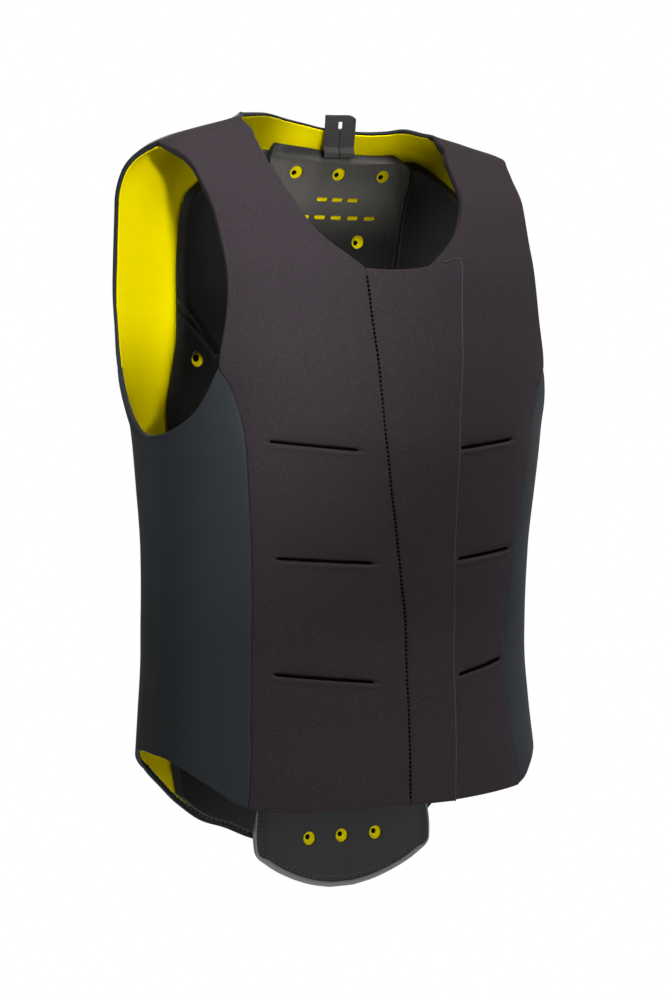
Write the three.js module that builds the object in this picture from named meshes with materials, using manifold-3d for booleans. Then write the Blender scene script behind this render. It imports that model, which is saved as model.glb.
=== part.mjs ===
import * as THREE from "three";
import Module from "manifold-3d";

// A padded sleeveless protection vest, worn shape, in millimetres.
// X runs to the wearer's left, the front faces -Y and Z is up. The origin is level with the top of the
// shoulder straps, midway between them, so every height below is a distance down from there.

// Sizes of the body form.
const bodyLength = 650; // top of the shoulders to the bottom of the tail
const chestHalf = 194; // half the width at the armholes
const frontDeep = 128; // front surface ahead of the shoulder line, at the chest
const backDeep = 91; // back surface behind the shoulder line, at the shoulder blades
const frontSquareness = 2.5; // how square a level section is: 2 is an ellipse
const backSquareness = 3.5;
const liftFade = 45; // the shoulders' own unevenness dies away over this height

// Thicknesses and clearances.
const panelThick = 6; // padded front panels
const clothThick = 3; // side and back cloth, and the lap of the flap
const liningThick = 1.2;
const foamThick = 8; // back protector
const fit = 0.3; // between pieces that are sewn together or lie on each other
const foamFit = 1.4; // between the lining and the stiffer protector, which bridges its curves
const pressDepth = 3; // grooves pressed into the front panels

// Places round the body are angles: 0 is the centre front, 90 the wearer's left side, 180 the centre back.
const backTurn = 9; // the protector and the hanger sit this far round to the wearer's left
const tailTurn = 11.2; // and the tail this far
const holeSize = 11.5; // round vents in the protector
const slotWide = 11;
const slotTall = 4;
const hangerWide = 28;
const hangerTall = 31;
const eyeWide = 4.4; // the hanger's eye, above the slit between its legs
const eyeTall = 6;
const slitWide = 1.6;
const tapeThick = 2;

// The body form: one row per level section.
// Columns: distance down (share of bodyLength), half width (share of chestHalf),
// front depth (share of frontDeep), back depth (share of backDeep).
const sections = [
  [0.0, 0.39, 0.05, 0.46],
  [0.0125, 0.433, 0.07, 0.516],
  [0.025, 0.598, 0.133, 0.57],
  [0.0385, 0.784, 0.22, 0.637],
  [0.069, 0.928, 0.406, 0.747],
  [0.108, 0.985, 0.61, 0.835],
  [0.154, 1.0, 0.734, 0.912],
  [0.192, 0.995, 0.828, 0.956],
  [0.254, 0.964, 0.906, 0.989],
  [0.315, 0.923, 0.97, 1.0],
  [0.388, 0.869, 0.992, 0.956],
  [0.463, 0.845, 0.938, 0.934],
  [0.54, 0.828, 0.86, 0.912],
  [0.654, 0.832, 0.773, 0.89],
  [0.731, 0.85, 0.797, 0.868],
  [0.8, 0.867, 0.867, 0.846],
  [0.862, 0.876, 0.922, 0.835],
  [1.01, 0.876, 0.953, 0.747],
];

// How far the worn shoulders stand above their even line, from the wearer's right to the left.
// Columns: across (share of chestHalf), lift (share of liftFade).
const liftRows = [
  [-1.0, 0.0],
  [-0.8, 0.06],
  [-0.72, 0.15],
  [-0.6, 0.2],
  [-0.45, 0.2],
  [-0.3, 0.218],
  [-0.24, 0.218],
  [-0.13, 0.147],
  [-0.015, 0.08],
  [0.04, 0.031],
  [0.1, -0.009],
  [0.16, -0.038],
  [0.25, -0.055],
  [0.33, -0.035],
  [0.38, 0.0],
  [1.0, 0.0],
];

// The outer edge of a front panel: the armhole, then the side seam. Columns: down (share), angle.
const frontEdgeRows = [
  [0.0385, 90],
  [0.045, 70],
  [0.052, 57],
  [0.06, 50.5],
  [0.069, 47.5],
  [0.092, 44.4],
  [0.123, 42],
  [0.16, 41],
  [0.195, 41],
  [0.231, 42.2],
  [0.27, 44.8],
  [0.308, 48],
  [0.33, 45.8],
  [0.366, 44.6],
  [0.42, 43.8],
  [0.47, 43.2],
  [0.54, 42.1],
  [0.61, 41],
  [0.68, 40.6],
  [0.75, 40.4],
  [0.8, 41],
  [0.834, 41.9],
];

// The neck edge of a front panel, from the shoulder seam down. Columns: down (share), angle.
const neckRows = [
  [0.0123, 90],
  [0.0154, 62],
  [0.0215, 47],
  [0.028, 39],
  [0.04, 30.5],
  [0.052, 27.3],
  [0.068, 25],
  [0.107, 21.9],
  [0.143, 18.3],
  [0.161, 15],
  [0.175, 11.6],
  [0.19, 8],
];

// The closure: the seam that holds the flap and the flap's free edge. Columns: down (share), angle, angle.
const closureRows = [
  [0.18, -8, 17.5],
  [0.24, -8, 16],
  [0.3, -7.8, 15.3],
  [0.37, -7.3, 14.8],
  [0.44, -5, 15.5],
  [0.5, -2, 16.6],
  [0.56, 1, 17.8],
  [0.63, 4, 19.3],
  [0.72, 4.5, 19],
  [0.84, 2.5, 15.7],
];

// The rows of cloth in a front panel. Columns: down at the side edge (share), down at the closure or the
// neck (share), and whether a groove is pressed along the row.
const frontRows = [
  [0.83, 0.8355, 0],
  [0.776, 0.788, 0],
  [0.724, 0.742, 0],
  [0.677, 0.699, 0],
  [0.67, 0.692, 1],
  [0.663, 0.685, 0],
  [0.618, 0.638, 0],
  [0.574, 0.592, 0],
  [0.539, 0.552, 0],
  [0.532, 0.545, 1],
  [0.525, 0.538, 0],
  [0.482, 0.496, 0],
  [0.44, 0.456, 0],
  [0.399, 0.417, 0],
  [0.392, 0.41, 1],
  [0.385, 0.403, 0],
  [0.346, 0.348, 0],
  [0.308, 0.292, 0],
  [0.27, 0.24, 0],
  [0.231, 0.19, 0],
  [0.195, 0.16, 0],
  [0.16, 0.13, 0],
  [0.123, 0.1, 0],
  [0.09, 0.07, 0],
  [0.066, 0.045, 0],
  [0.052, 0.028, 0],
  [0.044, 0.018, 0],
  [0.0385, 0.0123, 0],
];

// The back edge of the armhole and the back seam. Columns: down (share), angle.
const backEdgeRows = [
  [0.0385, 90],
  [0.046, 103],
  [0.056, 113],
  [0.069, 123],
  [0.092, 128],
  [0.123, 129.4],
  [0.154, 130.2],
  [0.192, 129.8],
  [0.231, 127.6],
  [0.27, 125.8],
  [0.308, 122.2],
  [0.4, 123.5],
  [0.6, 126.5],
  [0.82, 130],
];

// The bottom of the armhole, across the top of a side panel. Columns: angle, down (share).
const armpitRows = [
  [48, 0.308],
  [53.1, 0.338],
  [58.7, 0.361],
  [66, 0.377],
  [76, 0.388],
  [88, 0.391],
  [97, 0.388],
  [105.4, 0.377],
  [113.4, 0.361],
  [118.5, 0.338],
  [122.2, 0.308],
];

// The lower edge of a side panel. Columns: angle, down (share).
const sideHemRows = [
  [42, 0.829],
  [46, 0.823],
  [51, 0.811],
  [58, 0.798],
  [66.5, 0.786],
  [78, 0.779],
  [97, 0.779],
  [112, 0.784],
  [121, 0.797],
  [130, 0.815],
];

// The lower edge of the back. Columns: angle, down (share); angles over 180 are on the wearer's right.
const backHemRows = [
  [130, 0.815],
  [134, 0.85],
  [139, 0.885],
  [145, 0.915],
  [152, 0.932],
  [164, 0.938],
  [180, 0.938],
  [188, 0.932],
  [196, 0.92],
  [203, 0.904],
  [209, 0.893],
  [216, 0.868],
  [223, 0.838],
  [230, 0.815],
];

// The back neck edge. Columns: angle, down (share).
const backNeckRows = [
  [90, 0.0123],
  [101, 0.005],
  [115, 0.0008],
  [140, 0.0015],
  [180, 0.0045],
];

// Down shares of the rows of cloth in a side panel and the lower back, from the hem to the armhole.
const sideRows = [0.829, 0.776, 0.724, 0.67, 0.618, 0.574, 0.532, 0.482, 0.44, 0.392, 0.346, 0.308];

// Down shares of the back's rows above that, up to the neck edge.
const backRows = [0.27, 0.231, 0.192, 0.154, 0.123, 0.092, 0.069, 0.056, 0.046, 0.0385, 0.025, 0.0123];

// The protector's outline, in angles from its own middle. Columns: down (share), seam of a wing, outer edge
// of the wing on the wearer's left, outer edge on the right.
const protectorRows = [
  [0.9, 16.5, 42, 47],
  [0.84, 16.5, 46, 49.5],
  [0.74, 16.5, 47, 48.5],
  [0.62, 16.5, 46.5, 48],
  [0.5, 16.5, 46.5, 48],
  [0.4, 16.5, 47.5, 48.5],
  [0.36, 16.5, 46.5, 47.3],
  [0.33, 16.5, 44.5, 44.9],
  [0.3, 16.5, 42.5, 42.8],
  [0.27, 16.5, 41, 41.2],
  [0.2, 16.5, 40, 40.2],
  [0.15, 16.8, 39.6, 40.2],
  [0.115, 17.2, 38.3, 40.5],
  [0.09, 18, 35.8, 40.3],
  [0.073, 19, 33, 38.6],
  [0.058, 20.5, 30.8, 36.4],
  [0.045, 22.2, 29, 34.4],
  [0.034, 24, 27.4, 32.9],
];
const protectorTop = [0.0262, 25.5]; // the middle part goes up to here: down (share), angle of its corner

// The tail's outline. Columns: down (share), angle of its edge from its own middle.
const tailRows = [
  [0.885, 25.8],
  [0.92, 26.5],
  [0.938, 26.3],
  [0.948, 25.2],
  [0.953, 23.8],
  [0.9645, 20.4],
  [0.978, 14.8],
  [0.988, 8.6],
  [0.9925, 3.5],
];

// A smooth line through table rows that rise in column 0, or fall in it: the value in one column at x.
function smooth(rows, column, x) {
  const up = rows[0][0] < rows[rows.length - 1][0];
  const r = up ? rows : [...rows].reverse();
  const last = r.length - 1;
  if (x <= r[0][0]) return r[0][column];
  if (x >= r[last][0]) return r[last][column];
  const slope = (i) => (r[i + 1][column] - r[i][column]) / (r[i + 1][0] - r[i][0]);
  const tangent = (i) => {
    if (i === 0) return slope(0);
    if (i === last) return slope(last - 1);
    const a = slope(i - 1);
    const b = slope(i);
    return a * b <= 0 ? 0 : (2 * a * b) / (a + b);
  };
  let i = 0;
  while (x > r[i + 1][0]) i += 1;
  const h = r[i + 1][0] - r[i][0];
  const t = (x - r[i][0]) / h;
  const s = 1 - t;
  return (
    r[i][column] * s * s * (1 + 2 * t) +
    r[i + 1][column] * t * t * (3 - 2 * t) +
    h * (tangent(i) * t * s * s - tangent(i + 1) * t * t * s)
  );
}

const mix = (a, b, t) => a + (b - a) * t;
const steps = (n) => Array.from({ length: n + 1 }, (_, i) => i / n);

// A point of the body form at an angle and a distance down, moved out along the surface's own normal.
function onBody(angle, down, out = 0) {
  const share = Math.max(0, down) / bodyLength;
  const turn = THREE.MathUtils.degToRad(angle);
  const c = Math.cos(turn);
  const s = Math.sin(turn);
  const front = c >= 0;
  const n = front ? frontSquareness : backSquareness;
  const deepColumn = front ? 2 : 3;
  const deepSize = front ? frontDeep : backDeep;
  const halfAt = (q) => smooth(sections, 1, q) * chestHalf;
  const deepAt = (q) => smooth(sections, deepColumn, q) * deepSize;
  const half = halfAt(share);
  const deep = deepAt(share);
  const r = (Math.abs(s) ** n + Math.abs(c) ** n) ** (-1 / n);
  const x = half * r * s;
  const y = -deep * r * c;
  const step = 0.002;
  const low = Math.max(0, share - step);
  const run = (share + step - low) * bodyLength;
  const halfSlope = (halfAt(share + step) - halfAt(low)) / run;
  const deepSlope = (deepAt(share + step) - deepAt(low)) / run;
  const normal = new THREE.Vector3(
    (Math.sign(x) * Math.abs(x / half) ** (n - 1)) / half,
    (Math.sign(y) * Math.abs(y / deep) ** (n - 1)) / deep,
    Math.abs(x / half) ** n * (halfSlope / half) + Math.abs(y / deep) ** n * (deepSlope / deep),
  ).normalize();
  const fade = Math.max(0, 1 - Math.max(0, down) / liftFade);
  const lift = smooth(liftRows, 1, x / chestHalf) * liftFade * fade * fade * (3 - 2 * fade);
  return new THREE.Vector3(x, y, lift - down).addScaledVector(normal, out);
}

// Moves the border of a grid of points inwards over the cloth, which leaves the gap at each seam.
function pullIn(grid, distance) {
  const rows = grid.length - 1;
  const columns = grid[0].length - 1;
  const toward = (p, q) => q.clone().sub(p).normalize().multiplyScalar(distance);
  return grid.map((row, i) =>
    row.map((p, j) => {
      const moved = p.clone();
      if (i === 0) moved.add(toward(p, grid[1][j]));
      if (i === rows) moved.add(toward(p, grid[rows - 1][j]));
      if (j === 0) moved.add(toward(p, grid[i][1]));
      if (j === columns) moved.add(toward(p, grid[i][columns - 1]));
      return moved;
    }),
  );
}

// A closed solid between two grids of points of the same size.
function solidBetween(outer, inner) {
  const rows = outer.length - 1;
  const columns = outer[0].length - 1;
  const points = [...outer.flat(), ...inner.flat()];
  const at = (side, i, j) => (side * (rows + 1) + i) * (columns + 1) + j;
  const faces = [];
  const quad = (a, b, c, d) => faces.push(a, b, c, a, c, d);
  for (let i = 0; i < rows; i += 1) {
    for (let j = 0; j < columns; j += 1) {
      quad(at(0, i, j), at(0, i, j + 1), at(0, i + 1, j + 1), at(0, i + 1, j));
      quad(at(1, i, j), at(1, i + 1, j), at(1, i + 1, j + 1), at(1, i, j + 1));
    }
    quad(at(0, i, 0), at(0, i + 1, 0), at(1, i + 1, 0), at(1, i, 0));
    quad(at(0, i, columns), at(1, i, columns), at(1, i + 1, columns), at(0, i + 1, columns));
  }
  for (let j = 0; j < columns; j += 1) {
    quad(at(0, 0, j), at(1, 0, j), at(1, 0, j + 1), at(0, 0, j + 1));
    quad(at(0, rows, j), at(0, rows, j + 1), at(1, rows, j + 1), at(1, rows, j));
  }
  let volume = 0;
  for (let k = 0; k < faces.length; k += 3) {
    const [a, b, c] = [points[faces[k]], points[faces[k + 1]], points[faces[k + 2]]];
    volume += a.dot(b.clone().cross(c));
  }
  if (volume < 0) faces.reverse();
  const geometry = new THREE.BufferGeometry();
  geometry.setAttribute("position", new THREE.Float32BufferAttribute(points.flatMap((p) => p.toArray()), 3));
  geometry.setIndex(faces);
  return geometry;
}

// A piece of cloth or foam from a grid of places, each {angle, down, press}, between two offsets. An
// offset is a number or a function of the place and its column share.
function pieceFrom(places, outerAt, innerAt) {
  const value = (offset, place, t) => (typeof offset === "function" ? offset(place, t) : offset);
  const layer = (offset) =>
    pullIn(
      places.map((row) =>
        row.map((p, j) => onBody(p.angle, p.down, value(offset, p, j / (row.length - 1)))),
      ),
      fit / 2,
    );
  return solidBetween(layer(outerAt), layer(innerAt));
}

const mirrored = (places) => places.map((row) => row.map((p) => ({ ...p, angle: -p.angle })));

// The share of a front panel's width, from the closure, over which its grooves run.
const grooved = (t, from, to) => t > from && t < to;
const pressed = (p) => (p.press ? -pressDepth : 0);

const hemBulge = 0.005; // the right panel's hem hangs this share lower between its ends
const hemBulgeFade = 0.15;

// The wearer's right front panel: seam and neck on one side, side seam and armhole on the other.
function rightPlaces() {
  return frontRows.map(([side, centre, press]) =>
    steps(8).map((t) => {
      const inner = centre >= 0.19 ? smooth(closureRows, 1, centre) : -smooth(neckRows, 1, centre);
      const low = Math.max(0, 1 - (frontRows[0][0] - side) / hemBulgeFade);
      return {
        angle: mix(inner, -smooth(frontEdgeRows, 1, side), t),
        down: (mix(centre, side, t) + low * hemBulge * Math.sin(Math.PI * t * t)) * bodyLength,
        press: press && grooved(t, 0.1, 0.85),
      };
    }),
  );
}

// The flap's place at a share of its width, on one row; its top edge dips and then rises.
const lapStart = 0.66; // share of the flap's width where it starts to lie over the left panel
const flapRows = frontRows.map((r) => r[1]).filter((centre) => centre >= 0.19);
function flapPlace(centre, share) {
  const top = Math.max(0, 1 - (centre - 0.19) / 0.1);
  const dip = 0.003 * Math.sin(Math.PI * Math.min(1, share * 1.3)) - 0.012 * share ** 3;
  return {
    angle: mix(smooth(closureRows, 1, centre), smooth(closureRows, 2, centre), share),
    down: (centre + top * dip) * bodyLength,
  };
}

const flapShares = [0, 0.2, 0.42, lapStart - 0.06, lapStart, 0.83, 1];
const lapUnder = 0.4; // the lap's underside above the left panel
const lapOuter = (share) => {
  const t = Math.min(1, share / lapStart);
  return (lapUnder + clothThick) * t * t * (3 - 2 * t);
};

function flapPiece() {
  const places = flapRows.map((centre) =>
    flapShares.map((share) => ({ ...flapPlace(centre, share), share })),
  );
  return pieceFrom(
    places,
    (p) => lapOuter(p.share),
    (p) => (p.share >= lapStart ? lapUnder : -panelThick),
  );
}

// The wearer's left front panel, from under the flap's lap to the side.
function leftPlaces() {
  return frontRows.map(([side, centre, press]) => {
    const edge = { angle: smooth(frontEdgeRows, 1, side), down: side * bodyLength };
    const under = centre >= 0.19;
    const firsts = under
      ? [lapStart + 0.02, 0.83, 1].map((share) => flapPlace(centre, share))
      : [0, 0.09, 0.18].map((t) => ({
          angle: mix(smooth(neckRows, 1, centre), edge.angle, t),
          down: mix(centre * bodyLength, edge.down, t),
        }));
    const from = firsts[2];
    const rest = steps(6)
      .slice(1)
      .map((t) => ({
        angle: mix(from.angle, edge.angle, t),
        down: mix(from.down, edge.down, t),
        press: press && grooved(t, 0, 0.8),
      }));
    return [...firsts, ...rest];
  });
}

// A side panel, between the front side seam, the back seam, the armhole and the hem.
const ends = (rows) => [rows[0], rows[rows.length - 1]];
const [sideLow, sideTop] = ends(sideRows);
const backSeamLow = ends(sideHemRows)[1][1];
const seamDown = (share) => mix(backSeamLow, sideTop, (sideLow - share) / (sideLow - sideTop));

function sidePlaces() {
  return sideRows.map((share) => {
    const v = (sideLow - share) / (sideLow - sideTop);
    const from = smooth(frontEdgeRows, 1, share);
    const to = smooth(backEdgeRows, 1, seamDown(share));
    return steps(9).map((u) => {
      const bottom = smooth(sideHemRows, 1, mix(...ends(sideHemRows).map((r) => r[0]), u));
      const upper = smooth(armpitRows, 1, mix(...ends(armpitRows).map((r) => r[0]), u));
      return { angle: mix(from, to, u), down: mix(bottom, upper, v) * bodyLength };
    });
  });
}

// The back, from seam to seam and from the hem to the neck.
function backPlaces() {
  const rows = [...sideRows.map(seamDown), ...backRows];
  return rows.map((share, i) =>
    steps(18).map((u) => {
      const edge = smooth(backEdgeRows, 1, share);
      const angle = mix(edge, 360 - edge, u);
      const mirror = angle > 180 ? 360 - angle : angle;
      const hem = smooth(backHemRows, 1, mix(...ends(backHemRows).map((r) => r[0]), u));
      const fade = Math.max(0, 1 - i / 6);
      const level = share + (hem - backSeamLow) * fade;
      const down = i === rows.length - 1 ? smooth(backNeckRows, 1, mirror) : level;
      return { angle, down: down * bodyLength };
    }),
  );
}

const wasm = await Module();
wasm.setup();

function toManifold(geometry) {
  const mesh = new wasm.Mesh({
    numProp: 3,
    vertProperties: geometry.attributes.position.array,
    triVerts: new Uint32Array(geometry.index.array),
  });
  return new wasm.Manifold(mesh);
}

function fromManifold(solid) {
  const mesh = solid.getMesh();
  const geometry = new THREE.BufferGeometry();
  geometry.setAttribute("position", new THREE.BufferAttribute(mesh.vertProperties, 3));
  geometry.setIndex(new THREE.BufferAttribute(mesh.triVerts, 1));
  return geometry;
}

// The protector lies on the lining, turned a little round to the wearer's left.
const liningIn = clothThick + fit;
const liningDeep = liningIn + liningThick;
const foamOut = liningDeep + foamFit;
const backMiddle = 180 - backTurn;

// A hole right through the foam at an angle from the protector's middle, as wide and as tall as told.
function ventAt(angle, share, wide, tall) {
  const place = onBody(backMiddle + angle, share * bodyLength, -foamOut - foamThick / 2);
  const tool =
    wide === tall
      ? wasm.Manifold.cylinder(foamThick * 3, wide / 2, wide / 2, 16, true)
      : wasm.Manifold.cube([wide, tall, foamThick * 3], true);
  return tool.rotate([90, 0, 0]).translate(place.toArray());
}

// Below the waist the foam's rows bend, so that its lower edge stays just above the back hem, and above the
// tail where that is.
const foamWaist = 0.62;
const foamGap = 0.008;
const tailMiddle = 180 - tailTurn;
const tailReach = 27.2; // half of the tail's width and a little room, as an angle
function foamDown(share, angle) {
  if (share <= foamWaist) return share;
  const reach = (share - foamWaist) / (protectorRows[0][0] - foamWaist);
  const hem = smooth(backHemRows, 1, angle) - foamGap;
  const even = Math.min(protectorRows[0][0], hem);
  const beyond = Math.min(1, Math.max(0, Math.abs(angle - tailMiddle) - tailReach + 0.6) / 1.2);
  const edge = mix(tailRows[0][0] - 0.002, hem, beyond);
  return mix(foamWaist, even, reach) + (edge - even) * reach ** 8;
}

function foamPiece(rows, middle, fromAngle, toAngle, shares, vents, bends = true) {
  const places = rows.map((row) =>
    shares.map((u) => {
      const angle = middle + mix(fromAngle(row), toAngle(row), u);
      return { angle, down: (bends ? foamDown(row[0], angle) : row[0]) * bodyLength };
    }),
  );
  const plain = pieceFrom(places, -foamOut, -foamOut - foamThick);
  if (!vents.length) return plain;
  return fromManifold(vents.reduce((solid, vent) => solid.subtract(vent), toManifold(plain)));
}

function protectorPiece() {
  const vents = [
    [-13.4, 0.0513],
    [0, 0.0505],
    [13.4, 0.0513],
    [-6.3, 0.1405],
    [6.3, 0.1405],
  ].map(([angle, share]) => ventAt(angle, share, holeSize, holeSize));
  for (const angle of [-4.3, 0, 4.3]) vents.push(ventAt(angle, 0.086, slotWide, slotTall));
  for (const angle of [-9, -4.5, 0, 4.5, 9]) vents.push(ventAt(angle, 0.1095, slotWide, slotTall));
  const rows = [...protectorRows, protectorTop];
  return foamPiece(rows, backMiddle, (row) => -row[1], (row) => row[1], steps(10), vents);
}

// The columns of the left and of the right wing, as shares of its width.
const wingShares = [
  [0, 0.15, 0.3, 0.46, 0.54, 0.7, 0.85, 1],
  [0, 0.13, 0.26, 0.31, 0.45, 0.6, 0.8, 1],
];

function wingPiece(side) {
  const edge = side < 0 ? 2 : 3;
  return foamPiece(
    protectorRows,
    backMiddle,
    (row) => side * row[1],
    (row) => side * row[edge],
    wingShares[side < 0 ? 0 : 1],
    [ventAt(side * 37, 0.2988, holeSize, holeSize)],
  );
}

function tailPiece() {
  const turn = tailMiddle - backMiddle;
  const vents = [-10.2, 0, 10.2].map((angle) => ventAt(turn + angle, 0.9265, holeSize, holeSize));
  return foamPiece(tailRows, tailMiddle, (row) => -row[1], (row) => row[1], steps(12), vents, false);
}

// A flat loop of tape: two legs with a slit between them, which opens into an eye near the top. Its lower
// end is sewn to the protector's top edge, and it passes close inside the neck edge.
const hangerTurn = backMiddle - 1.5;
const hangerLow = 0.0238; // down share of its sewn end
const hangerHigh = 0.0035; // and of the neck edge
const hangerSeat = 11.2; // its back is this far inside the body form at the sewn end
const hangerPass = 6; // and this far at the neck edge
function hangerPiece() {
  const half = hangerWide / 2;
  const slit = slitWide / 2;
  const eyeTop = hangerTall - 5.5;
  const eyeLow = eyeTop - eyeTall;
  const outline = new THREE.Shape();
  outline.moveTo(-half, 0);
  outline.lineTo(-slit, 0);
  outline.lineTo(-slit, eyeLow);
  outline.lineTo(-eyeWide / 2, eyeLow + 1);
  outline.lineTo(-eyeWide / 2, eyeTop);
  outline.lineTo(eyeWide / 2, eyeTop);
  outline.lineTo(eyeWide / 2, eyeLow + 1);
  outline.lineTo(slit, eyeLow);
  outline.lineTo(slit, 0);
  outline.lineTo(half, 0);
  outline.lineTo(half, hangerTall - 6);
  outline.lineTo(half - 3, hangerTall - 1);
  outline.lineTo(half - 7, hangerTall);
  outline.lineTo(-half, hangerTall);
  outline.closePath();
  const geometry = new THREE.ExtrudeGeometry(outline, { depth: tapeThick, bevelEnabled: false });
  const low = onBody(hangerTurn, hangerLow * bodyLength, -hangerSeat);
  const high = onBody(hangerTurn, hangerHigh * bodyLength, -hangerPass);
  const lean = Math.atan2(low.y - high.y, high.z - low.z);
  geometry.rotateX(Math.PI / 2 + lean);
  geometry.rotateZ(THREE.MathUtils.degToRad(-backTurn * 0.3));
  geometry.translate(low.x, low.y, low.z);
  return geometry;
}

const frontCloth = () => new THREE.MeshStandardMaterial({ color: 0x3b343b, roughness: 0.85, metalness: 0 });
const sideCloth = () => new THREE.MeshStandardMaterial({ color: 0x24292d, roughness: 0.75, metalness: 0 });
const yellowCloth = () => new THREE.MeshStandardMaterial({ color: 0xf5e500, roughness: 0.8, metalness: 0 });
const blackFoam = () => new THREE.MeshStandardMaterial({ color: 0x1c1d1c, roughness: 0.6, metalness: 0 });
const greyTape = () => new THREE.MeshStandardMaterial({ color: 0x454443, roughness: 0.8, metalness: 0 });

const vest = new THREE.Group();
vest.name = "protection_vest";

function add(name, geometry, material) {
  geometry.computeVertexNormals();
  const mesh = new THREE.Mesh(geometry, material);
  mesh.name = name;
  vest.add(mesh);
}

add("front_right_panel", pieceFrom(rightPlaces(), pressed, -panelThick), frontCloth());
add("front_left_panel", pieceFrom(leftPlaces(), pressed, -panelThick), frontCloth());
add("closure_flap", flapPiece(), frontCloth());
add("side_left_panel", pieceFrom(sidePlaces(), 0, -clothThick), sideCloth());
add("side_right_panel", pieceFrom(mirrored(sidePlaces()), 0, -clothThick), sideCloth());
add("back_panel", pieceFrom(backPlaces(), 0, -clothThick), sideCloth());
add("side_left_lining", pieceFrom(sidePlaces(), -liningIn, -liningDeep), yellowCloth());
add("side_right_lining", pieceFrom(mirrored(sidePlaces()), -liningIn, -liningDeep), yellowCloth());
add("back_lining", pieceFrom(backPlaces(), -liningIn, -liningDeep), yellowCloth());
add("back_protector", protectorPiece(), blackFoam());
add("protector_left_wing", wingPiece(-1), blackFoam());
add("protector_right_wing", wingPiece(1), blackFoam());
add("tail_pad", tailPiece(), blackFoam());
add("hanger_loop", hangerPiece(), greyTape());

export default vest;
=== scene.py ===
import math
import bpy
import numpy as np
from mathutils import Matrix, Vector


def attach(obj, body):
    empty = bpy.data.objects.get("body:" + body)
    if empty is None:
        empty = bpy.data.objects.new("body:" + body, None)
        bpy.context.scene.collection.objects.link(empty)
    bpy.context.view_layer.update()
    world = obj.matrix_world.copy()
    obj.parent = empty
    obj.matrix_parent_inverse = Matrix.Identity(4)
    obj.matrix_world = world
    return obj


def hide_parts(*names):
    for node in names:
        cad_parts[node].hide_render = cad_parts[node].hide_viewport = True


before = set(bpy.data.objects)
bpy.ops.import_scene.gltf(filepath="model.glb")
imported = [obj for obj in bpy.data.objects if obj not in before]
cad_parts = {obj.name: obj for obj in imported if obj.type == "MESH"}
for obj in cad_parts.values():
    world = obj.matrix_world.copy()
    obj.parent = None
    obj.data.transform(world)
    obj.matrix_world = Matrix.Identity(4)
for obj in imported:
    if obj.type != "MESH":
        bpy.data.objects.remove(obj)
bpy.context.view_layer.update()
mm = 0.001

# The padded vest in its worn shape. Sizes are metres, x runs to the wearer's left, the front faces -y.
# Places are angles round the body, 0 at the centre front and 90 on the wearer's left, and shares of the
# body's length down from the top of the shoulders.

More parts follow.
